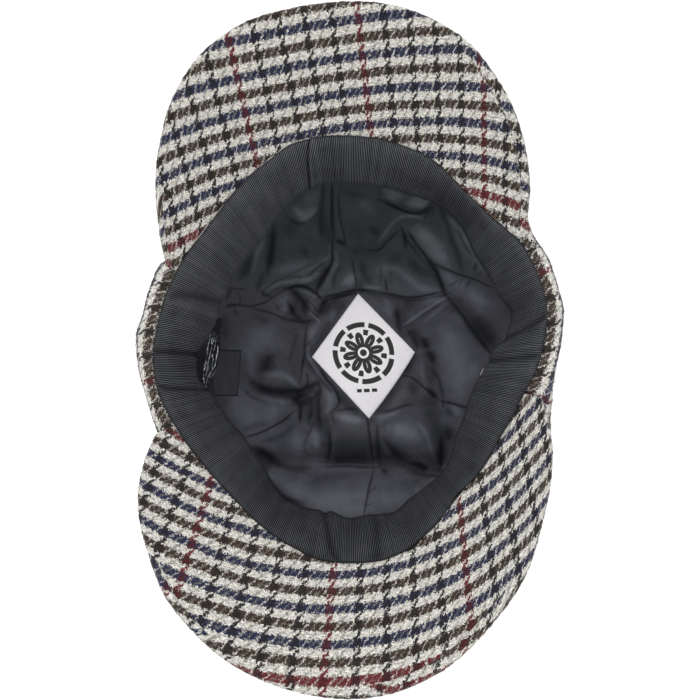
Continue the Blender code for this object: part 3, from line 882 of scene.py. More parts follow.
crown = {
    "seams": [30.0, 90.0, 150.0, 210.0, 270.0, 330.0],
    "valley": 1.1,
    "reach": 9.0,
    "thickness": 2.0,
    "gap": 0.25,
    "angle": 60.0,
    # how far a gore's edge tucks into its seam, over what width, and the share of that inside
    "tuck": (0.9, 1.3, 0.3),
    "uneven": 0.35,
    "rimThickness": 0.5,
    "firstShare": 0.006,
    # near the middle: the least radius that the gap is worked out for, and the most degrees it takes
    "leastRadius": 2.0,
    "mostInset": 12,
    # warp and weft threads by which each gore's check is off that of the last
    "checkShift": (7, 3),
    "fuzzColumns": slice(8, 60),
    "rows": [
        # drop as a share of the crown's height, spread of the plan, share of the plain oval
        (0.00, 1.000, 0.0), (0.05, 1.004, 0.0), (0.14, 1.028, 0.1), (0.28, 1.055, 0.3),
        (0.45, 1.060, 0.6), (0.62, 1.030, 0.8), (0.77, 0.965, 1.0), (0.89, 0.860, 1.0),
        (0.98, 0.745, 1.0), (1.00, 0.640, 1.0), (1.00, 0.450, 1.0), (1.00, 0.220, 1.0),
        (1.00, 0.016, 1.0),
    ],
    "dents": [
        # angle, drop, angular reach, drop reach, depth
        (62, 0.45, 20, 0.18, 3.0), (118, 0.60, 18, 0.15, 2.4),
        (236, 0.42, 18, 0.17, 3.0), (302, 0.58, 20, 0.17, 2.6),
    ],
    "steps": (44, 84),
    "endPitch": 0.66,
    "pickPitch": 1.05,
    # each gore is a tall triangle with bowed sides
    "cut": {"flat": (0.105, 0.175), "area": 0.0130, "held": "stretched"},
}


def planRadius(rows, angle, share):
    oval = along(rows, 2, share)
    return (rimRadius(angle) * (1 - oval) + ovalRadius(angle) * oval) * along(rows, 1, share)


def heightAt(rows, share):
    return hat["rimHeight"] - along(rows, 0, share) * (hat["rimHeight"] - hat["crownBase"])


def crownProfile(angle, share):
    radius = planRadius(crown["rows"], angle, share) + hat["outset"]
    drop = along(crown["rows"], 0, share)
    wall = np.sqrt(np.maximum(np.sin(math.pi * np.clip(drop, 0, 1)), 0))
    for seam in crown["seams"]:
        away = np.radians(np.abs(between(angle, seam))) * radius
        radius = radius - wall * crown["valley"] * bell(away, crown["reach"])
    for middle, level, turn, tall, depth in crown["dents"]:
        radius = radius - wall * depth * bell(between(angle, middle), turn) * bell(drop - level, tall)
    return radius, heightAt(crown["rows"], share)


def outward(profile, angle, share):
    step = 0.004
    ahead = profile(angle, np.minimum(share + step, 1.0))
    behind = profile(angle, np.maximum(share - step, 0.0))
    run, fall = ahead[0] - behind[0], ahead[1] - behind[1]
    size = np.maximum(np.hypot(run, fall), 1e-6)
    return -fall / size, run / size


def crownPoint(angle, share, offset):
    radius, height = crownProfile(angle, share)
    across, up = outward(crownProfile, angle, share)
    return polar(angle, radius + offset * across, np.maximum(height + offset * up, 0.0))


def pathLength(points):
    # Distance along each row of a grid, from its first column
    steps = np.linalg.norm(np.diff(points, axis=1), axis=2)
    return np.concatenate([np.zeros((len(points), 1)), np.cumsum(steps, axis=1)], 1)


def makeCrown():
    for number, seam in enumerate(crown["seams"]):
        part = np.linspace(0, 1, crown["steps"][0])
        part = (part + 0.5 - 0.5 * np.cos(math.pi * part)) / 2
        share = np.linspace(0.0, 1.0, crown["steps"][1])[None, :]
        radius = np.maximum(crownProfile(seam, share)[0], crown["leastRadius"])
        inset = np.minimum(np.degrees(crown["gap"] / 2 / radius), crown["mostInset"])
        angle = seam + inset + part[:, None] * (crown["angle"] - 2 * inset)
        away = np.minimum(angle - seam, seam + crown["angle"] - angle)
        fromSeam = np.radians(away) * crownProfile(angle, share)[0]
        deep, wide, inside = crown["tuck"]
        tuck = -deep * bell(fromSeam, wide) * ramp(share, 0.0, 0.06)
        loose = ripple(angle / 7 + number * 9, share * 11 + 0 * angle, 31) * crown["uneven"]
        share = share + 0 * angle
        dropped = np.maximum(share, crown["firstShare"])
        loose = loose * ramp(share, 0, 0.1) * ramp(1 - share, 0.3, 0.45)
        outer = crownPoint(angle, dropped, tuck + loose)
        thin = crown["rimThickness"] + (crown["thickness"] - crown["rimThickness"]) * ramp(share, 0.0, 0.12)
        inner = crownPoint(angle, dropped, -thin + inside * tuck)
        down = pathLength(outer)
        sideways = np.radians(angle - seam - crown["angle"] / 2) * np.hypot(outer[..., 0], outer[..., 1])
        endShift, pickShift = crown["checkShift"]
        threads = np.stack([sideways / crown["endPitch"] + endShift * number,
                            -down / crown["pickPitch"] + pickShift * number], -1)
        makeSheet(f"crown_cloth_{number + 1}", inner, outer, threads, "tweed", slot="tweed",
                  replaces=[f"crown_panel_{number + 1}"], cut=crown["cut"])
        makeFuzz(f"crown_cloth_{number + 1}", outer[::-1, crown["fuzzColumns"]], [], 90 + number)


makeCrown()
print("crown made")


clothPoints = []  # where loose threads can lie

flaps = {
    "thickness": 3.0,
    "roll": 8.5,
    "rootOutset": 0.3,
    "pickPitch": 1.06,
    "clothRadius": 92,
    "brownPick": 8,
    # how far the fold dips under a peak, and over which degrees
    "dip": (3.6, -0.5, 3.5),
    # size in degrees, row and height of the unevenness of the fold's line
    "fray": [(1.3, 3, 0.35), (5, 9, 0.3)],
    "uneven": 0.35,
    "rows": [
        # station down the crown, half width across, stand-off from the crown
        (2.0, 36.0, 1.1), (3.0, 41.0, 0.7), (4.0, 45.0, 0.5), (5.0, 45.0, 0.35), (6.0, 42.0, 0.35),
        (7.0, 38.5, 0.35), (8.0, 35.0, 0.35), (9.0, 31.0, 0.35), (10.0, 26.5, 0.35),
        (10.5, 24.0, 0.35), (11.0, 20.0, 0.35), (11.6, 10.0, 0.35),
    ],
    "stations": 14.0,
    "steps": (90, 16, 56),
    "cut": {"flat": (0.095, 0.165), "area": 0.0118, "held": "folded"},
    # sweep at the rim, sweep clear of the peaks, middle angle below and at the tip, angle of a red warp,
    # how far out the brown weft runs, pitch of the warp, and angle and radius of the fold's outer line
    "ear_flap_left": {
        "sweep": (151.5, 203.0), "clear": (156.5, 202.5), "middle": 179.5, "tip": 180.0, "red": 188.8,
        "brown": 2.4, "endPitch": 0.70,
        "fold": [(151.5, 95.5), (153, 96.8), (155, 97.9), (163, 98.0), (169, 97.9), (172.5, 98.6),
                 (175.6, 99.7), (178, 99.2), (181, 98.8), (185, 98.0), (189, 97.1), (192.5, 96.5),
                 (196, 96.1), (203, 96.0)],
    },
    "ear_flap_right": {
        "sweep": (-26.0, 38.0), "clear": (-12.5, 28.0), "middle": 7.6, "tip": 0.0, "red": 22.2,
        "brown": 2.3, "endPitch": 0.73,
        "fold": [(-26, 100.0), (-23.5, 100.6), (-19, 98.4), (-13.6, 96.4), (-9.7, 95.3), (-6, 95.4),
                 (-2.3, 96.3), (1.4, 97.7), (4.4, 98.7), (8.4, 100.4), (11.4, 101.3), (14.5, 101.4),
                 (18.3, 101.6), (21.7, 102.0), (24.7, 102.5), (28, 102.4), (35, 102.6), (38, 101.5)],
    },
}


def makeFlap(name):
    flap, rows = flaps[name], flaps["rows"]
    part = np.linspace(0, 1, flaps["steps"][0])[:, None]
    side = 2 * part - 1
    angle = flap["sweep"][0] + (flap["sweep"][1] - flap["sweep"][0]) * part
    root = rimRadius(angle) + hat["outset"] + flaps["rootOutset"]
    hidden = np.maximum(flap["clear"][0] - angle, angle - flap["clear"][1])
    dip, dipFrom, dipTo = flaps["dip"]
    top = hat["rimHeight"] - hat["gap"] - dip * ramp(hidden, dipFrom, dipTo)
    turn = np.radians(90 * (1 - np.linspace(0, 1, flaps["steps"][1])))[None, :]
    fray = sum(ripple(angle / size, 0 * angle + row, 41 + number) * tall
               for number, (size, row, tall) in enumerate(flaps["fray"]))
    foldReach = cubic(flap["fold"], 1, angle) - root + fray
    faces = {}
    for face, reach in (("outer", 0.0), ("inner", flaps["thickness"])):
        tall = flaps["roll"] - reach
        centre = top - flaps["roll"]
        radius = root + (foldReach - reach) * np.cos(turn)
        faces[face] = polar(angle, radius, centre + tall * np.sin(turn) + 0 * radius)
    station = np.linspace(rows[0][0], rows[-1][0], flaps["steps"][2])[None, :]
    way = station / flaps["stations"]
    line = flap["middle"] + between(flap["tip"], flap["middle"]) * station / rows[-1][0]
    radius = crownProfile(line, way)[0]
    across = line + side * np.degrees(cubic(rows, 1, station) / radius)
    stand = cubic(rows, 2, station)
    bumpy = ripple(across / 5, station * 1.3 + 0 * across, 43) * flaps["uneven"]
    down = {"outer": crownPoint(across, way + 0 * across, stand + flaps["thickness"] + bumpy),
            "inner": crownPoint(across, way + 0 * across, stand + 0 * across)}
    front = np.concatenate([faces["outer"], down["outer"]], 1)
    back = np.concatenate([faces["inner"], down["inner"]], 1)
    path = pathLength(front)
    foldSteps = flaps["steps"][1]
    around = np.concatenate([angle + 0 * turn, across], 1)
    ends = np.radians(around - flap["red"]) * flaps["clothRadius"] / flap["endPitch"]
    picks = flaps["brownPick"] + (path - flap["brown"]) / flaps["pickPitch"]
    makeFuzz(name, front[:, ::-1], front[:, foldSteps * 3 // 4], 81)
    clothPoints.append(front[:, :foldSteps].reshape(-1, 3))
    threads = np.stack([ends, picks], -1)
    return makeSheet(name + "_cloth", back, front, threads, "tweed", slot="tweed", replaces=[name],
                     cut=flaps["cut"])


for flapName in ("ear_flap_left", "ear_flap_right"):
    makeFlap(flapName)
print("ear flaps made")


band = {
    "width": 31.0,
    "thickness": 1.2,
    "top": 109.7,
    "ribDepth": 0.11,
    "perRib": 3,
    "across": 18,
    # angle, radius of the outer edge, radius of the free edge
    "edges": [
        (0, 87.5, 67.0), (7.5, 90.5, 75.5), (15, 92.5, 80.5), (22.5, 93.0, 77.0), (30, 93.0, 77.0),
        (37.5, 91.0, 77.5), (45, 89.5, 81.0), (52.5, 90.0, 84.5), (60, 93.0, 85.5), (67.5, 96.5, 84.0),
        (75, 98.0, 83.5), (82.5, 99.0, 83.5), (90, 99.5, 84.0), (97.5, 100.0, 85.0), (105, 99.5, 83.0),
        (112.5, 96.0, 79.0), (120, 93.0, 74.5), (127.5, 90.0, 70.0), (135, 87.5, 68.5),
        (142.5, 86.5, 68.0), (150, 87.0, 66.5), (157.5, 87.5, 65.5), (165, 88.0, 65.5),
        (172.5, 88.5, 67.5), (180, 89.5, 72.5), (187.5, 89.5, 73.5), (195, 88.5, 69.0),
        (202.5, 86.5, 66.5), (210, 85.0, 65.0), (217.5, 84.0, 63.5), (225, 84.0, 65.0),
        (232.5, 85.0, 67.0), (240, 87.5, 72.0), (247.5, 90.0, 75.5), (255, 92.5, 75.5),
        (262.5, 95.0, 74.5), (270, 95.5, 77.5), (277.5, 95.5, 76.0), (285, 93.5, 77.5),
        (292.5, 89.5, 74.0), (300, 85.0, 72.5), (307.5, 81.0, 71.5), (315, 80.5, 68.0),
        (322.5, 79.5, 63.5), (330, 78.5, 62.0), (337.5, 79.5, 60.5), (345, 81.0, 61.0),
        (352.5, 84.5, 63.5),
    ],
    "creases": [
        # angle at the rim, angle at the free edge, half width, depth
        (181.0, 180.0, 1.6, 1.6), (190.0, 194.0, 1.6, 1.5), (165.0, 158.0, 3.5, 1.0),
        (11.0, 6.0, 2.2, 1.6), (358.5, 357.0, 1.8, 1.6), (268.0, 261.0, 2.2, 1.8),
        (277.0, 279.0, 3.5, 0.8),
    ],
    # darkness and reach of the painted shade along the turn at the rim, and the darkness of the painted shade
    # in the creases
    "turnDark": (0.85, 0.085),
    "creaseDark": 0.6,
    # angle at the rim and at the free edge of the lapped join, height of its step and its run
    "join": (100.5, 103.3, 0.9, 14),
    # the first two knots of its curve over the rim, inward and up, and the third as shares of its run
    # and fall with some millimetres more inward, then the least fall of its free edge
    "turnover": [(0.0, -0.9), (2.4, 1.6)],
    "slopeKnot": (0.5, 0.22, 1.0),
    "leastFall": 4.0,
    "cut": {"flat": (0.58, 0.031), "held": "gathered"},
}


def bandEdges(angle):
    return cubic(band["edges"], 1, angle, 360), cubic(band["edges"], 2, angle, 360)


def bandFall(angle):
    outer, free = bandEdges(angle)
    return np.sqrt(np.maximum(band["width"] ** 2 - (outer - 1 - free) ** 2, band["leastFall"] ** 2))


def bandGrid(angle, share, offset):
    outer, free = bandEdges(angle)
    fall = bandFall(angle)
    slope = np.arctan2(fall, outer - free)
    # over the rim, then down and inward to the free edge, as one Bezier curve
    knots = [(inward + 0 * outer, up + 0 * outer) for inward, up in band["turnover"]]
    runShare, fallShare, more = band["slopeKnot"]
    knots += [((outer - free) * runShare + more, -fall * fallShare), (outer - free, -fall)]
    weights = [(1 - share) ** 3, 3 * share * (1 - share) ** 2, 3 * share ** 2 * (1 - share), share ** 3]
    inwardRun = sum(weight * knot[0] for weight, knot in zip(weights, knots))
    height = sum(weight * knot[1] for weight, knot in zip(weights, knots))
    bow = 0 * height
    for atRim, atFree, reach, depth in band["creases"]:
        middle = atRim + between(atFree, atRim) * share
        away = np.radians(np.abs(between(angle, middle))) * outer
        bow = bow - depth * bell(away, reach) * ramp(share, 0.02, 0.35)
    atRim, atFree, step, run = band["join"]
    past = np.radians(between(angle, atRim + (atFree - atRim) * share)) * outer
    bow = bow + step * np.where(past < 0, np.exp(past / run), 0) * ramp(-past, -0.3, 0.3)
    facing = np.stack([-np.sin(slope) * ramp(share, 0, 0.25), np.maximum(np.cos(slope), 0.3) + 0 * share], 0)
    facing = facing / np.hypot(*facing)
    out = bow + offset
    height = band["top"] + height + out * facing[1]
    return polar(angle + 0 * share, outer - inwardRun + out * facing[0], height)


def bandPaintedShading(angle, share):
    # Painted shade along the turn at the rim, in the creases and under the lap of the join, and painted
    # highlight on the lap's edge and on the free edge, the latter more toward +Y
    outer = bandEdges(angle)[0]
    dark, reach = band["turnDark"]
    crease = dark * bell(share, reach) + 0 * angle
    for atRim, atFree, reach, depth in band["creases"]:
        away = np.radians(between(angle, atRim + between(atFree, atRim) * share)) * outer
        dark = band["creaseDark"] * bell(away, 0.7 * reach) * ramp(share, 0.02, 0.3) * min(depth, 1.0)
        crease = np.maximum(crease, dark)
    atRim, atFree = band["join"][:2]
    past = np.radians(between(angle, atRim + (atFree - atRim) * share)) * outer
    crease = np.maximum(crease, bell(past - 0.5, 0.7))
    ridge = bell(past + 0.9, 0.6) + ramp(share, 0.965, 1.0) * (1 + np.sin(np.radians(angle))) / 2
    return np.stack([crease, ridge], -1)


def makeBand():
    fine = np.linspace(0, 360, 3601)
    outer = bandEdges(fine)[0]
    steps = np.hypot(np.diff(outer), outer[1:] * math.radians(0.1))
    run = np.concatenate([[0], np.cumsum(steps)])
    ribs = ribbon["ribs"]
    count = np.arange(ribs * band["perRib"]) / band["perRib"]
    angle = np.interp(count * run[-1] / ribs, run, fine)[:, None]
    share = np.linspace(0, 1, band["across"])[None, :]
    rib = count[:, None]
    depth = band["ribDepth"] * np.cos(2 * math.pi * rib) * ramp(share, 0.0, 0.06)
    upper = bandGrid(angle, share, depth)
    lower = bandGrid(angle, share, -band["thickness"] * (0.55 + 0.45 * ramp(share, 0, 0.2)) + 0 * rib)
    threads = np.stack([rib + 0 * share, band["width"] * share + 0 * rib], -1)
    clothPoints.append(upper.reshape(-1, 3))
    return makeSheet("sweatband_ribbon", upper, lower, threads, "ribbon", ring=True,
                     depths=bandPaintedShading(angle, share), slot="grosgrain", replaces=["sweatband"],
                     cut=band["cut"])


makeBand()
print("sweatband made")


lining = {
    "inset": 2.6,
    "rows": [
        # drop as a share of the crown's height, spread of the plan, share of the plain oval
        (0.04, 1.000, 0.0), (0.14, 0.995, 0.0), (0.28, 0.965, 0.2), (0.42, 0.890, 0.5),
        (0.56, 0.800, 0.8), (0.70, 0.700, 1.0), (0.82, 0.580, 1.0), (0.905, 0.440, 1.0),
        (0.95, 0.290, 1.0), (0.965, 0.150, 1.0), (0.965, 0.016, 1.0),
    ],
    "foldStart": 2.0,
    "foldGrowth": 12.0,
    "steps": (600, 156),
    # shares of the way in between which most rows lie, and the share of the rows that lie there
    "busy": (0.16, 0.93, 0.92),
    # how far the cloth sinks in a crease and rises on a ridge, for each point of its reach
    "creaseDepth": 0.20,
    "ridgeHeight": 0.14,
    "widest": 4.0,
    # the loose bag of cloth at the front, in plan: its line, its height and its reach
    "bag": ([(-40, -64), (42, -64)], 15.0, 13.0),
    "taper": 0.22,
    "endShare": 0.6,
    # size, height and seed of the crumples: wide ones, and small ones that a wander bends
    "crumple": [(11, 0.6, 53), (4.5, 0.2, 54)],
    "wander": (14, 2.0),
    "bandGap": 0.2,
    "crownGap": 1.0,
    # sizes of the diamond between which the cloth is pressed flat under it
    "pressed": (1.3, 1.0),
    # six gores side by side, each a little larger than its place in the crown
    "cut": {"flat": (0.58, 0.15), "area": 0.058, "held": "gathered"},
    # Places and reaches on the lining are points of the picture that the camera takes, 700 wide, from
    # its upper left corner. Left and right are as one walks along the line, and a row with one reach
    # has it on both sides.
    "folds": [
        # points of the line, lift, reach to the left and to the right
        ([(250, 446), (285, 459), (320, 468), (362, 467), (440, 472)], -2.5, 16, 7),
        ([(256, 384), (280, 391), (300, 393)], -2.0, 8),
        ([(404, 229), (420, 248), (434, 268), (445, 294)], 2.0, 14, 4),
        ([(448, 298), (466, 318), (480, 336), (492, 356)], -2.0, 14, 9),
        ([(322, 298), (340, 294), (360, 290), (384, 292), (412, 297), (444, 293)], 2.0, 12, 3),
        ([(264, 291), (280, 284), (304, 282), (318, 276)], 1.6, 5),
        ([(280, 298), (286, 308), (282, 316)], 1.2, 7),
        ([(378, 248), (392, 222), (404, 216), (424, 218)], 1.4, 6),
        ([(384, 194), (402, 199), (420, 205), (428, 200)], 1.8, 7, 6),
        ([(288, 208), (305, 218), (318, 204)], 1.8, 8),
        ([(446, 298), (420, 314), (402, 326)], 1.0, 4),
        ([(312, 428), (316, 440), (318, 456)], 1.2, 8),
        ([(392, 424), (410, 432), (424, 444)], 2.0, 15, 13),
        ([(284, 376), (298, 387)], 1.0, 6),
        ([(322, 184), (322, 236)], -1.2, 4),
    ],
    "creases": [
        # points of the line, reach to the left and to the right, darkness of the painted shade
        # the sewn seams between the gores
        ([(323, 182), (322, 205), (321, 222), (322, 240)], 2.2, 0.60),
        ([(332, 180), (332, 205), (332, 222), (334, 237)], 1.8, 0.90),
        ([(339, 188), (339, 205), (341, 222), (344, 236), (347, 249)], 1.0, 0.75),
        ([(222, 309), (234, 305), (251, 306), (263, 303), (272, 298), (281, 292), (289, 288)], 1.0, 0.8),
        ([(240, 439), (262, 432), (272, 427), (284, 420), (292, 413), (298, 409)], 1.1, 0.90),
        ([(430, 262), (446, 269), (460, 275), (474, 279), (486, 285), (498, 289)], 1.1, 0.80),
        ([(402, 375), (412, 378), (424, 388), (432, 395), (441, 401)], 1.1, 0.80),
        ([(441, 401), (454, 404), (470, 409)], 1.4, 0.90),
        ([(367, 417), (369, 430), (371, 445), (373, 464)], 1.5, 0.90),
        ([(377, 426), (378, 445), (380, 465)], 2.4, 0.75),
        ([(374, 468), (370, 484), (367, 498), (363, 520)], 1.1, 0.85),
        # puckers beside them
        ([(336, 240), (345, 245)], 2.4, 0.85),
        ([(450, 286), (461, 279)], 0.9, 0.6),
        ([(458, 287), (462, 279)], 0.9, 0.6),
        ([(465, 287), (471, 280)], 1.4, 0.6),
        ([(443, 399), (443, 408)], 1.0, 0.8),
        ([(367, 494), (377, 486)], 0.9, 0.5),
        ([(366, 506), (373, 503)], 0.9, 0.45),
        # the back gores
        ([(333, 238), (332, 250), (332, 262), (328, 271), (322, 281), (317, 290), (319, 297)], 1.4, 0.9),
        ([(330, 266), (323, 279), (316, 292)], 2.4, 3.4, 0.95),
        ([(284, 224), (292, 234)], 9, 0.35),
        ([(302, 248), (308, 257)], 4.5, 0.45),
        ([(284, 214), (293, 222), (303, 223), (312, 219), (319, 211)], 1.4, 0.5),
        ([(341, 266), (335, 274), (333, 289)], 2.2, 0.5),
        ([(351, 258), (354, 270), (357, 287)], 1.0, 0.8),
        ([(362, 262), (364, 275), (371, 284)], 4.0, 0.55),
        ([(380, 265), (381, 275), (380, 285)], 0.9, 0.5),
        ([(385, 279), (387, 291)], 1.2, 0.85),
        ([(390, 270), (391, 284)], 0.9, 0.45),
        ([(410, 261), (420, 273)], 5.5, 0.45),
        ([(370, 227), (377, 234)], 4.5, 0.5),
        ([(352, 226), (362, 240)], 8, 0.25),
        ([(364, 250), (378, 250), (386, 243), (396, 233), (403, 229)], 1.4, 0.65),
        ([(403, 231), (405, 240), (406, 249)], 2.0, 0.85),
        ([(410, 246), (415, 248)], 1.4, 0.5),
        ([(408, 231), (417, 245), (428, 258)], 1.6, 0.90),
        ([(424, 254), (434, 268), (440, 281), (446, 296)], 2.6, 0.97),
        ([(345, 192), (365, 197), (385, 203), (400, 209)], 4.0, 5.0, 0.40),
        ([(378, 199), (395, 207), (408, 212), (420, 213), (428, 208), (433, 201)], 1.7, 1.9, 0.9),
        ([(424, 220), (428, 212), (436, 205)], 1.5, 0.65),
        ([(430, 218), (435, 208)], 1.0, 0.6),
        ([(439, 204), (446, 220), (452, 238), (458, 254), (463, 274)], 2.6, 4.0, 0.60),
        ([(458, 229), (464, 244), (473, 257)], 1.0, 0.6),
        ([(476, 263), (475, 271)], 2.2, 0.6),
        # the fold over the label and the pleats at its left
        ([(318, 298), (338, 294), (350, 291), (360, 290), (376, 291)], 1.4, 0.95),
        ([(372, 291), (390, 294), (404, 297), (416, 297), (428, 295), (446, 291)], 1.1, 0.9),
        ([(330, 299), (344, 295), (362, 292)], 1.0, 2.6, 0.75),
        ([(326, 300), (322, 307), (319, 315)], 5.0, 3.4, 0.98),
        ([(336, 299), (330, 305), (324, 314)], 4.0, 0.60),
        ([(262, 293), (270, 286), (279, 280), (293, 277), (307, 276), (317, 268), (326, 261)], 1.1, 0.65),
        ([(262, 290), (264, 295), (272, 296)], 1.3, 0.75),
        ([(285, 289), (297, 286), (308, 288), (315, 293), (321, 298)], 1.7, 0.95),
        ([(250, 308), (268, 312), (280, 317), (292, 321)], 1.0, 0.75),
        ([(288, 320), (304, 322), (314, 320)], 1.8, 0.85),
        ([(290, 289), (299, 297), (305, 305), (306, 315)], 3.0, 3.4, 0.85),
        ([(290, 306), (296, 316), (303, 320)], 3.0, 0.80),
        ([(276, 303), (279, 311)], 1.0, 0.4),
        ([(312, 312), (319, 318)], 1.0, 0.7),
        ([(252, 314), (262, 319), (272, 322)], 3.0, 0.30),
        # shadows beside the band
        ([(274, 226), (272, 245), (270, 262), (268, 272)], 4.6, 0.85),
        ([(264, 272), (257, 290)], 3.0, 0.5),
        ([(252, 256), (247, 268), (240, 278)], 5.5, 0.62),
        ([(230, 289), (240, 289), (247, 290)], 1.0, 0.6),
        ([(236, 291), (240, 296), (240, 303)], 0.9, 0.6),
        ([(232, 286), (226, 300)], 1.6, 0.6),
        ([(226, 306), (238, 305)], 1.6, 0.7),
        ([(268, 478), (276, 488), (286, 498), (302, 504)], 3.2, 4.0, 0.85),
        # right of the label
        ([(448, 298), (455, 306), (464, 318), (474, 332), (484, 345), (494, 358)], 2.8, 2.2, 0.92),
        ([(460, 304), (474, 322), (486, 338), (496, 350)], 9, 5, 0.45),
        ([(396, 310), (398, 321), (400, 330)], 2.6, 3.0, 0.92),
        ([(404, 302), (414, 308)], 7, 0.45),
        ([(446, 300), (430, 310), (418, 318)], 0.9, 0.5),
        ([(407, 330), (413, 338), (418, 348)], 2.2, 0.92),
        ([(422, 339), (428, 348)], 4.2, 0.88),
        ([(428, 352), (434, 362)], 4.4, 0.82),
        ([(432, 368), (439, 380), (442, 392), (443, 402)], 2.0, 3.0, 0.55),
        ([(427, 389), (436, 397)], 3.6, 0.88),
        ([(410, 386), (414, 396)], 3.6, 0.45),
        ([(446, 408), (452, 416)], 3.4, 0.5),
        ([(447, 428), (450, 440)], 6.5, 0.78),
        ([(442, 436), (441, 455), (440, 470)], 3.2, 3.6, 0.92),
        ([(428, 412), (434, 432)], 6.5, 0.4),
        # below the label
        ([(384, 440), (394, 452), (404, 460), (418, 465), (432, 470), (442, 472)], 7.0, 2.6, 0.92),
        ([(382, 469), (387, 473)], 3.0, 0.75),
        ([(424, 475), (442, 476)], 1.6, 2.6, 0.75),
        ([(380, 412), (392, 410), (403, 406), (414, 404)], 1.7, 0.8),
        ([(336, 411), (348, 409), (358, 409)], 1.4, 0.7),
        ([(328, 463), (350, 462), (374, 463)], 15, 2.2, 0.90),
        ([(332, 446), (352, 442), (374, 446)], 11, 12, 0.55),
        ([(374, 440), (380, 456), (390, 466)], 9, 0.55),
        ([(384, 454), (404, 465), (432, 472)], 13, 4, 0.75),
        ([(436, 424), (442, 446), (438, 466)], 9, 10, 0.60),
        ([(408, 472), (432, 476)], 3.5, 0.50),
        ([(324, 467), (345, 466), (362, 467), (380, 467)], 1.3, 0.7),
        ([(330, 431), (330, 448), (327, 462)], 1.9, 0.88),
        ([(318, 392), (319, 408), (321, 426)], 2.2, 2.6, 0.90),
        ([(312, 426), (306, 440), (304, 448), (309, 456)], 1.3, 0.5),
        ([(310, 482), (322, 479), (336, 476), (354, 474)], 5.0, 0.30),
        # left of the label
        ([(253, 382), (264, 388), (280, 391), (296, 392), (308, 396)], 4.6, 5.2, 0.97),
        ([(292, 396), (300, 402), (308, 398)], 4.4, 0.90),
        ([(302, 402), (301, 412), (300, 421)], 1.8, 0.9),
        ([(308, 388), (316, 392)], 6.0, 0.65),
        ([(315, 380), (320, 388), (320, 399)], 1.8, 0.8),
        ([(306, 372), (308, 380), (306, 388)], 1.6, 0.7),
        ([(298, 398), (306, 389), (318, 383)], 3.2, 0.85),
        ([(304, 404), (313, 399), (320, 391)], 2.4, 0.80),
        ([(299, 398), (301, 410), (300, 422)], 2.4, 0.60),
        ([(311, 398), (312, 410), (309, 420)], 1.6, 0.75),
        ([(286, 300), (292, 308), (296, 317)], 1.2, 0.6),
        ([(306, 298), (312, 304), (318, 314)], 1.2, 0.65),
        ([(234, 309), (238, 316)], 1.2, 0.5),
        ([(284, 277), (300, 270), (318, 261)], 1.4, 0.45),
        ([(264, 369), (273, 357)], 5.4, 0.65),
        ([(243, 388), (252, 397), (263, 401)], 1.9, 0.4),
        ([(297, 334), (293, 348), (290, 362)], 1.7, 0.4),
        ([(307, 324), (305, 342), (304, 356), (302, 368), (300, 384)], 1.2, 0.88),
        ([(306, 345), (312, 341), (317, 333)], 1.0, 0.6),
        ([(306, 358), (311, 366), (315, 373)], 1.0, 0.6),
        ([(313, 359), (320, 368), (326, 379), (333, 387), (339, 399), (338, 406), (331, 412)], 1.3, 0.88),
        ([(331, 412), (333, 418), (336, 425)], 1.1, 0.6),
        ([(242, 431), (256, 425), (268, 424)], 3.0, 0.35),
        ([(262, 442), (280, 436), (296, 424)], 2.2, 0.35),
        ([(254, 447), (266, 453), (278, 462)], 4.0, 8.0, 0.90),
        ([(270, 459), (288, 467), (310, 469)], 4.0, 3.0, 0.55),
        ([(416, 482), (432, 484)], 6, 0.45),
        # wide soft shadows
        ([(298, 300), (300, 316)], 10, 0.45),
        ([(312, 320), (300, 326)], 6, 0.35),
        ([(306, 402), (310, 424)], 5, 0.35),
        ([(376, 460), (402, 464)], 5, 0.35),
        ([(392, 256), (398, 262)], 7, 0.35),
        ([(420, 270), (430, 276)], 5, 0.35),
        ([(424, 350), (432, 374)], 9, 0.40),
        ([(464, 322), (484, 348)], 6, 0.35),
        ([(444, 303), (456, 312)], 5, 0.35),
        ([(434, 458), (446, 452)], 6, 0.40),
        ([(424, 412), (444, 414)], 5, 0.30),
        ([(302, 388), (308, 394)], 5, 0.40),
        ([(310, 394), (314, 410), (322, 428)], 9, 8, 0.50),
        ([(328, 430), (326, 452)], 5, 0.40),
        ([(398, 308), (404, 324)], 6, 0.45),
        ([(412, 328), (418, 346)], 6, 0.60),
        ([(414, 350), (410, 364), (406, 376)], 6, 0.60),
        ([(426, 372), (432, 384)], 6, 0.40),
        ([(478, 322), (494, 344)], 8, 0.45),
        ([(268, 352), (270, 372)], 7, 0.35),
        ([(326, 416), (330, 434)], 5, 0.45),
        ([(400, 326), (406, 338)], 5, 0.45),
        ([(424, 398), (438, 408)], 8, 6, 0.40),
        ([(412, 378), (416, 392)], 7, 0.40),
        ([(404, 402), (416, 401), (430, 402)], 7, 6, 0.40),
        ([(470, 322), (482, 334), (492, 346)], 8, 6, 0.40),
        ([(266, 358), (262, 376)], 7, 0.40),
        ([(290, 322), (297, 344), (296, 374)], 7, 0.30),
        ([(325, 226), (332, 244)], 6, 0.40),
        ([(350, 250), (374, 254)], 7, 0.35),
        ([(224, 318), (226, 338)], 6, 0.45),
        ([(344, 302), (334, 308)], 6, 5, 0.45),
    ],
    "ridges": [
        # points of the line, reach to the left and to the right, brightness of the painted highlight
        ([(296, 210), (305, 217), (315, 210)], 6.0, 4.5, 0.80),
        ([(304, 202), (316, 194)], 6.0, 0.40),
        ([(264, 240), (256, 256), (252, 272)], 3.0, 0.55),
        ([(322, 261), (310, 268), (290, 270), (274, 271)], 6.0, 0.40),
        ([(266, 291), (278, 284), (292, 281), (308, 280), (318, 274)], 2.4, 0.45),
        ([(280, 304), (286, 299), (283, 313)], 4.0, 0.40),
        ([(310, 299), (314, 309)], 1.8, 0.60),
        ([(298, 290), (310, 294), (318, 300)], 1.2, 0.50),
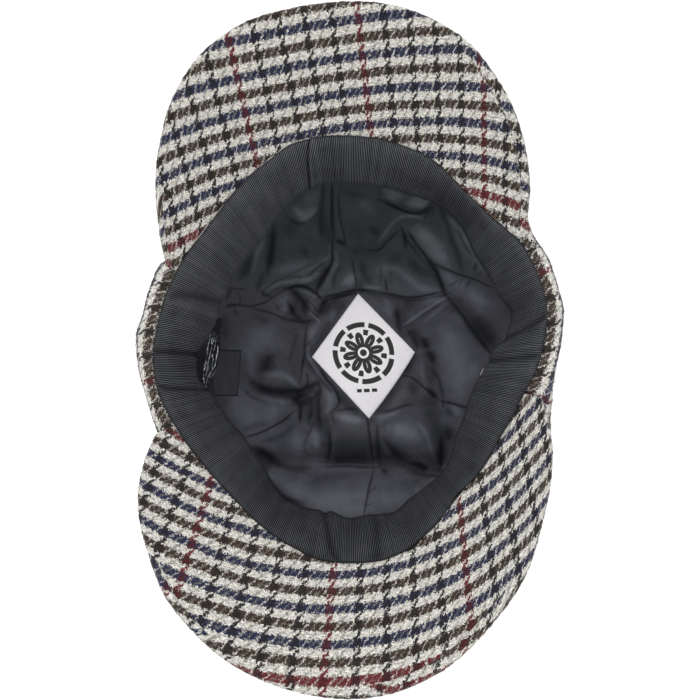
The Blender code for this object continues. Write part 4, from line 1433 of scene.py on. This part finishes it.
        ([(308, 397), (314, 393)], 1.3, 0.60),
        ([(308, 312), (318, 320), (320, 326)], 1.2, 0.55),
        ([(322, 262), (331, 254), (330, 246)], 1.6, 0.45),
        ([(335, 250), (337, 262), (334, 274)], 1.6, 0.40),
        ([(344, 284), (351, 279), (350, 286)], 5.5, 0.85),
        ([(326, 286), (330, 276), (336, 262)], 3.0, 0.40),
        ([(362, 287), (380, 288)], 2.0, 0.50),
        ([(384, 268), (398, 270), (410, 280), (424, 289), (438, 290)], 4.0, 0.50),
        ([(418, 227), (428, 240), (436, 252), (448, 266)], 6.0, 0.75),
        ([(442, 273), (452, 281), (464, 286)], 5.0, 0.65),
        ([(446, 216), (456, 226), (464, 236), (472, 246)], 2.0, 0.75),
        ([(384, 190), (394, 193), (404, 197)], 3.4, 0.60),
        ([(406, 203), (420, 205), (428, 199)], 3.4, 0.75),
        ([(376, 244), (386, 232), (394, 222), (402, 217), (412, 216), (424, 219)], 1.5, 0.55),
        ([(360, 200), (366, 206), (374, 212)], 5.0, 0.30),
        ([(447, 297), (434, 305), (420, 314), (408, 322), (401, 327)], 1.5, 0.70),
        ([(448, 303), (436, 312), (424, 322)], 1.2, 0.50),
        ([(446, 330), (454, 350), (460, 370), (460, 392)], 13, 15, 0.60),
        ([(468, 298), (486, 302)], 8, 0.35),
        ([(421, 357), (422, 370), (424, 381)], 2.0, 0.40),
        ([(386, 300), (390, 313)], 4.0, 0.50),
        ([(390, 428), (402, 430), (416, 438)], 9, 8, 0.75),
        ([(418, 422), (426, 434), (432, 450), (440, 468)], 2.2, 0.50),
        ([(338, 416), (352, 419), (364, 421)], 3.8, 0.95),
        ([(372, 416), (384, 417), (398, 411)], 3.0, 0.60),
        ([(315, 430), (317, 446)], 5.0, 0.60),
        ([(296, 434), (298, 452)], 8, 0.45),
        ([(260, 396), (276, 400), (290, 402)], 3.0, 0.45),
        ([(246, 404), (262, 412), (280, 406)], 10, 0.50),
        ([(262, 374), (284, 375), (298, 386)], 3.4, 0.60),
        ([(249, 352), (253, 374)], 5.0, 0.40),
        ([(268, 334), (254, 350)], 11, 0.32),
        ([(309, 346), (308, 356), (314, 368), (322, 377), (331, 386), (337, 396)], 1.7, 0.75),
        ([(326, 390), (330, 402), (327, 413)], 3.0, 0.50),
        ([(317, 324), (312, 335)], 3.0, 0.55),
        ([(334, 312), (331, 322)], 2.4, 0.45),
        ([(282, 478), (292, 489), (312, 498), (340, 498), (362, 494)], 9, 0.55),
        ([(312, 502), (338, 508), (362, 512)], 9, 0.50),
        ([(376, 498), (394, 500), (412, 494)], 9, 0.45),
        # wide soft lights
        ([(352, 506), (380, 508)], 8, 0.30),
        ([(232, 414), (256, 420), (276, 414)], 9, 0.40),
        ([(228, 432), (250, 440), (272, 446)], 8, 0.30),
        ([(414, 232), (432, 240), (446, 248)], 5, 0.40),
        ([(412, 200), (428, 196)], 6, 0.45),
        ([(460, 236), (474, 248)], 4, 0.45),
        ([(360, 198), (384, 201)], 5, 0.35),
        ([(332, 402), (334, 392)], 4, 0.50),
        ([(236, 388), (250, 400), (262, 410)], 9, 0.40),
        ([(302, 276), (310, 281)], 3, 0.50),
        ([(414, 203), (428, 197)], 5, 0.60),
        ([(386, 196), (400, 200)], 4, 0.40),
        ([(422, 232), (434, 244), (446, 258)], 5, 0.40),
        ([(462, 226), (474, 240)], 4, 0.50),
        ([(268, 336), (280, 344)], 8, 0.35),
        ([(311, 328), (313, 344)], 3.4, 0.45),
        ([(314, 366), (318, 374)], 3.4, 0.45),
        ([(424, 302), (432, 298)], 4.5, 0.50),
        ([(468, 306), (482, 314)], 7, 6, 0.40),
        ([(452, 406), (460, 414)], 4, 0.45),
        ([(234, 396), (244, 412), (258, 414)], 11, 0.60),
        ([(240, 428), (260, 430), (282, 428)], 8, 0.35),
        ([(382, 204), (392, 196)], 6, 0.45),
        ([(412, 199), (428, 200)], 6, 5, 0.50),
        ([(414, 232), (426, 244), (438, 258)], 9, 0.40),
        ([(444, 220), (454, 236), (468, 254)], 6, 0.35),
        ([(470, 240), (476, 258), (486, 272)], 6, 0.50),
        ([(452, 290), (466, 292), (480, 302)], 8, 0.50),
        ([(302, 222), (309, 218)], 5, 0.50),
        ([(376, 268), (388, 272)], 6, 0.45),
        ([(284, 268), (310, 265)], 6, 0.30),
        ([(240, 352), (256, 340), (272, 328)], 12, 0.35),
        ([(472, 376), (475, 364)], 5, 0.45),
        ([(432, 300), (446, 303)], 5, 0.40),
    ],
}


def bend(points, steps=5):
    # More points along a smooth line through a few
    points = np.array(points, float)
    outer = np.concatenate([2 * points[:1] - points[1:2], points, 2 * points[-1:] - points[-2:-1]])
    t = np.arange(steps)[:, None] / steps
    pieces = [b + t / 2 * (c - a + t * (2 * a - 5 * b + 4 * c - d + t * (3 * (b - c) + d - a)))
              for a, b, c, d in zip(outer, outer[1:], outer[2:], outer[3:])]
    return np.concatenate(pieces + [points[-1:]])


def besideLine(x, y, points):
    # Distance to a bent line, the side it is on in the picture (1 left, -1 right) and the share of
    # the line that lies behind
    nearest, side, behind = np.full(x.shape, 1e9), np.zeros(x.shape), np.zeros(x.shape)
    size = np.linalg.norm(np.diff(points, axis=0), axis=1)
    for number, ((ax, ay), (bx, by)) in enumerate(zip(points[:-1], points[1:])):
        runX, runY = bx - ax, by - ay
        share = np.clip(((x - ax) * runX + (y - ay) * runY) / (runX ** 2 + runY ** 2), 0, 1)
        offX, offY = x - ax - share * runX, y - ay - share * runY
        away = np.hypot(offX, offY)
        closer = away < nearest
        nearest = np.where(closer, away, nearest)
        side = np.where(closer, np.sign(runY * offX - runX * offY), side)
        behind = np.where(closer, (size[:number].sum() + share * size[number]) / size.sum(), behind)
    return nearest, side, behind


def lines(x, y, rows):
    # For each line the places near it, its share there and its reach, all fading at its ends
    for points, *reaches, most in rows:
        left, right = reaches[0], reaches[-1]
        line = bend(points)
        reach = 3 * max(reaches)
        low, high = line.min(0) - reach, line.max(0) + reach
        near = (x > low[0]) & (x < high[0]) & (y > low[1]) & (y < high[1])
        away, side, behind = besideLine(x[near], y[near], line)
        ends = ramp(behind, 0, lining["taper"]) * ramp(1 - behind, 0, lining["taper"])
        full = lining["endShare"] + (1 - lining["endShare"]) * ends
        width = np.where(side > 0, left, right) * full
        yield near, most * full * bell(away, width), width


def shadeAt(x, y, rows):
    # How much of the light the lines of a table take or give, from 0 to 1
    rest = np.ones(x.shape)
    for near, share, width in lines(x, y, rows):
        rest[near] *= 1 - share
    return 1 - rest


def depthAt(x, y, rows):
    # How deep the lines of a table press the cloth, where a wide soft shade is only a shallow hollow
    depth = np.zeros(x.shape)
    for near, share, width in lines(x, y, rows):
        depth[near] += share * np.minimum(width, lining["widest"])
    return depth


def liningProfile(angle, share):
    radius = planRadius(lining["rows"], angle, share) - lining["inset"] * (1 - share)
    return radius, heightAt(lining["rows"], share)


def diamondShare(x, y):
    turn = math.radians(label["turn"])
    x, y = x - label["centre"][0], y - label["centre"][1]
    u = x * math.cos(turn) + y * math.sin(turn)
    v = y * math.cos(turn) - x * math.sin(turn)
    return np.abs(u) / label["half"][0] + np.abs(v) / label["half"][1]


def makeLining():
    angle = np.linspace(0, 360, lining["steps"][0] + 1)[:-1, None]
    first, last, part = lining["busy"]
    way = np.linspace(0, 1, lining["steps"][1])
    share = np.interp(way, [0, (1 - part) / 2, (1 + part) / 2, 1], [0, first, last, 1])[None, :]
    angle, share = angle + 0 * share, share + 0 * angle
    radius, height = liningProfile(angle, share)
    across, up = outward(liningProfile, angle, share)
    x, y = polar(angle, radius, height)[..., :2].transpose(2, 0, 1)
    below = hat["rimHeight"] - bandFall(angle)
    loose = np.clip((below + lining["foldStart"] - height) / lining["foldGrowth"], 0, 1)
    line, tall, reach = lining["bag"]
    bag = tall * bell(besideLine(x, y, np.array(line, float))[0], reach) * loose
    radius, height = radius - bag * across, height - bag * up
    px, py = seen(polar(angle, radius, height))
    lift = lining["ridgeHeight"] * depthAt(px, py, lining["ridges"])
    lift -= lining["creaseDepth"] * depthAt(px, py, lining["creases"])
    folds = [(points, *reaches, 1.0) for points, tall, *reaches in lining["folds"]]
    for (near, fold, width), row in zip(lines(px, py, folds), lining["folds"]):
        lift[near] += row[1] * fold
    size, far = lining["wander"]
    bentX, bentY = (ripple(x / size, y / size, seed) * far for seed in (51, 52))
    (size, tall, seed), (fineSize, fineTall, fineSeed) = lining["crumple"]
    crumple = ripple(x / size, y / size, seed) * tall
    crumple = crumple + ripple(x / fineSize + bentX, y / fineSize + bentY, fineSeed) * fineTall
    lift = lift * loose + crumple * (0.3 + 0.7 * loose)
    radius, height = radius - lift * across, height - lift * up
    # behind the band the lining keeps clear of it
    dense = np.linspace(0.08, 1, 60)[None, :]
    under = bandGrid(angle[:, :1], dense, -band["thickness"] - lining["bandGap"] + 0 * angle[:, :1])
    bandReach = np.hypot(under[..., 0], under[..., 1])
    for row in range(len(angle)):
        reach = np.interp(height[row], under[row, ::-1, 2], bandReach[row, ::-1], left=0.0)
        radius[row] = np.maximum(radius[row], reach)
    grid = polar(angle, radius, height)
    edge = diamondShare(grid[..., 0], grid[..., 1])
    outside, inside = lining["pressed"]
    pressed = ramp(-edge, -outside, -inside)
    grid[..., 2] += (label["seat"] - grid[..., 2]) * pressed
    grid[..., 2] = np.maximum(grid[..., 2], hat["crownBase"] + crown["thickness"] + lining["crownGap"])
    px, py = seen(grid)
    # painted shade from the crease lines and painted highlight from the ridge lines, at the places the camera
    # sees
    depths = np.stack([shadeAt(px, py, lining["creases"]), shadeAt(px, py, lining["ridges"])], -1)
    rows, columns = grid.shape[:2]
    faces = gridFaces(rows, columns, 0, True, False)
    threads = np.stack([x, y], -1).reshape(-1, 2)
    return makePiece("lining_satin", grid.reshape(-1, 3), faces, threads[faces].reshape(-1, 2), "satin",
                     slot="lining_satin", replaces=[f"lining_panel_{n}" for n in range(1, 7)],
                     depths=depths.reshape(-1, 2)[faces].reshape(-1, 2), cut=lining["cut"])


makeLining()
print("lining made")


def makeDiamond():
    turn = math.radians(label["turn"])
    way = np.linspace(-1, 1, label["points"])
    a, b = np.meshgrid(way, way, indexing="ij")
    halfWide, halfTall = label["half"]
    u, v = (a + b) / 2 * halfWide, (b - a) / 2 * halfTall
    left, right, low = np.maximum(-u, 0) / halfWide, np.maximum(u, 0) / halfWide, np.maximum(-v, 0) / halfTall
    x = label["centre"][0] + u * math.cos(turn) - v * math.sin(turn) + label["bulge"] * 4 * right * low
    y = label["centre"][1] + u * math.sin(turn) + v * math.cos(turn)
    y = y + label["leftRaised"] * left - label["rightLowered"] * right - label["tipLowered"] * low
    rim = np.maximum(np.abs(a), np.abs(b))
    z = label["seat"] + label["above"] + label["uneven"] * ripple(x / 12, y / 12, 61)
    z = z - label["edgeDrop"] * ramp(rim, 0.93, 1.0)
    front = np.stack([x, y, z], -1)
    back = front - (0, 0, label["thickness"])
    threads = np.stack([u, v], -1)
    return makeSheet("crown_label_cloth", front, back, threads, "label", slot="label_satin",
                     replaces=["crown_label"], cut=label["cut"])


hung = {
    "thickness": 0.35,
    "points": (71, 41),
    # middle of the upper edge, heading from the hat's middle, pitch of the slope, width along the edge
    # and length down the slope, how much it crumples, how much its ends taper, how far its middle
    # moves out, and how much longer its one side is than the other
    "loop_label": {
        "seat": (-66.8, 0.6, 83.6), "heading": 169.5, "pitch": 62.0, "width": 35.0, "length": 10.5,
        "finish": "stripedTag", "curl": 0.7, "taper": 0.65, "out": 3.4, "slant": 0.0,
        "cut": {"flat": (0.035, 0.012), "area": 0.0003, "held": "folded"},
    },
    "care_label": {
        "seat": (-67.0, -8.0, 72.0), "heading": 182.0, "pitch": 38.0, "width": 23.0, "length": 15.0,
        "finish": "plainTag", "curl": 0.12, "taper": 0.0, "out": 0.0, "slant": 0.09,
        "cut": {"flat": (0.023, 0.015), "held": "hung"},
    },
}


def makeHung(name):
    row = hung[name]
    turn, pitch = math.radians(row["heading"]), math.radians(row["pitch"])
    seat = np.array(row["seat"])
    half = np.array([-math.sin(turn), math.cos(turn), 0.0]) * row["width"] / 2
    inward = np.array([-math.cos(turn) * math.cos(pitch), -math.sin(turn) * math.cos(pitch),
                       -math.sin(pitch)]) * row["length"]
    normal = np.cross(inward, half)
    normal = normal / np.linalg.norm(normal)
    if normal[2] < 0:
        normal = -normal
    across, down = hung["points"]
    a, b = np.meshgrid(np.linspace(-1, 1, across), np.linspace(0, 1, down), indexing="ij")
    shape = (1 - row["taper"] * np.abs(a) ** 1.6) * (1 - row["slant"] * a)
    fall = b * shape - row["out"] / row["length"] * (1 - a * a)
    crumple = ripple(a * 1.6 + 7, b * 4.2 + 3, 71) * 1.1 + ripple(a * 4 + 2, b * 7, 72) * 0.5
    curl = row["curl"] * crumple * ramp(b, 0, 0.3)
    front = seat + a[..., None] * half + fall[..., None] * inward + curl[..., None] * normal
    back = front - normal * hung["thickness"]
    threads = np.stack([a * row["width"] / 2, b * row["length"]], -1)
    return makeSheet(name + "_cloth", front, back, threads, row["finish"], slot="label_black",
                     replaces=[name], cut=row["cut"])


makeDiamond()
for tagName in ("loop_label", "care_label"):
    makeHung(tagName)

loose = {
    "width": 0.16,
    "rise": 0.45,
    "sides": 5,
    "threads": [
        # finish, places in the picture along it and how far up it stands there
        ("tape", [(226, 440, 0), (228, 438, 1), (231, 441, 1), (230, 445, 0)]),
        ("paleThread", [(474, 364, 0), (476, 367, 1), (475, 371, 1), (478, 374, 0)]),
        ("paleThread", [(475, 371, 0), (478, 369, 1), (477, 366, 0)]),
        ("darkThread", [(511, 404, 0), (515, 406, 2), (517, 412, 2), (515, 419, 1), (511, 421, 0)]),
        ("fuzz", [(141, 326, 0), (137, 329, 2), (136, 334, 2), (139, 338, 0)]),
        ("fuzz", [(140, 342, 0), (135, 344, 2), (133, 348, 2)]),
        ("fuzz", [(545, 384, 0), (550, 395, 2), (551, 410, 2), (547, 420, 0)]),
        ("darkThread", [(547, 414, 0), (552, 424, 2), (551, 440, 2), (546, 452, 0)]),
    ],
}


def makeLoose(ground):
    # Stray threads on the cloth, each a thin bent tube that follows the nearest of the ground's points
    px, py = seen(ground)
    for number, (finish, places) in enumerate(loose["threads"]):
        nearest = [(*ground[np.argmin((px - x) ** 2 + (py - y) ** 2)], up) for x, y, up in places]
        path = bend(nearest)
        path = path[:, :3] + np.outer(path[:, 3], [0, 0, loose["rise"]]) + (0, 0, loose["width"])
        run = np.gradient(path, axis=0)
        run /= np.linalg.norm(run, axis=1)[:, None]
        side = np.cross(run, (0.0, 0.0, 1.0)) + (1e-6, 0, 0)
        side /= np.linalg.norm(side, axis=1)[:, None]
        up = np.cross(side, run)
        turn = 2 * math.pi * np.arange(loose["sides"]) / loose["sides"]
        spokes = [math.cos(way) * side + math.sin(way) * up for way in turn]
        tube = path + loose["width"] / 2 * np.stack(spokes)
        faces = gridFaces(loose["sides"], len(path), 0, True, False)
        makePiece(f"loose_thread_{number + 1}", tube, faces, np.zeros((faces.size, 2)), finish)


makeLoose(np.concatenate(clothPoints))


tie = {
    "points": (80, 18),
    "rib": 1.6,
    "ribDepth": 0.12,
    "top": 0.15,
    "cut": {"flat": (0.083, 0.014), "held": "laid"},
}


def makeTie():
    low, high = (np.array(corner) * 1000 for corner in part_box("flap_tie"))
    low[:2] += hat["centre"]
    high[:2] += hat["centre"]
    spots = [np.linspace(low[way], high[way], tie["points"][way]) for way in (0, 1)]
    x, y = np.meshgrid(*spots, indexing="ij")
    weave = tie["ribDepth"] * np.sin(y * 2 * math.pi / tie["rib"])
    front = np.stack([x, y, high[2] - tie["top"] + weave], -1)
    back = np.stack([x, y, low[2] + 0 * x], -1)
    threads = np.stack([x, y], -1)
    return makeSheet("flap_tie_tape", front, back, threads, "tape", slot="tie_ribbon",
                     replaces=["flap_tie"], cut=tie["cut"])


makeTie()
print("labels and tie made")


studio = {
    "floorHalf": 3.0,
    "floor": (0.93, 0.93, 0.93, 1.0),
    "floorGlow": 0.35,
    "white": (1.0, 1.0, 1.0, 1.0),
    "world": 0.80,
    # name, place, size and power of each soft lamp
    "lamps": [("key", (-0.5, 0.6, 1.3), 0.7, 9.0), ("fill", (0.7, -0.5, 1.2), 0.9, 5.0)],
}


def makeStage():
    mesh = bpy.data.meshes.new("floor")
    half = studio["floorHalf"]
    mesh.from_pydata([(-half, -half, 0), (half, -half, 0), (half, half, 0), (-half, half, 0)], [],
                     [(0, 1, 2, 3)])
    paint = Paint("floor", Roughness=0.9, Specular_IOR_Level=0.1, Emission_Strength=studio["floorGlow"])
    paint.set(Base_Color=studio["floor"], Emission_Color=studio["white"])
    mesh.materials.append(paint.material)
    floor = bpy.data.objects.new("floor", mesh)
    bpy.context.collection.objects.link(floor)
    world = bpy.data.worlds.new("studio")
    world.use_nodes = True
    background = world.node_tree.nodes["Background"]
    background.inputs["Color"].default_value = studio["white"]
    background.inputs["Strength"].default_value = studio["world"]
    bpy.context.scene.world = world
    for name, spot, size, power in studio["lamps"]:
        lamp = bpy.data.lights.new(name, "AREA")
        lamp.energy, lamp.size = power, size
        light = bpy.data.objects.new(name, lamp)
        light.location = spot
        light.rotation_euler = Vector(spot).to_track_quat("Z", "Y").to_euler()
        bpy.context.collection.objects.link(light)


makeStage()
bpy.context.scene.view_settings.view_transform = "Standard"
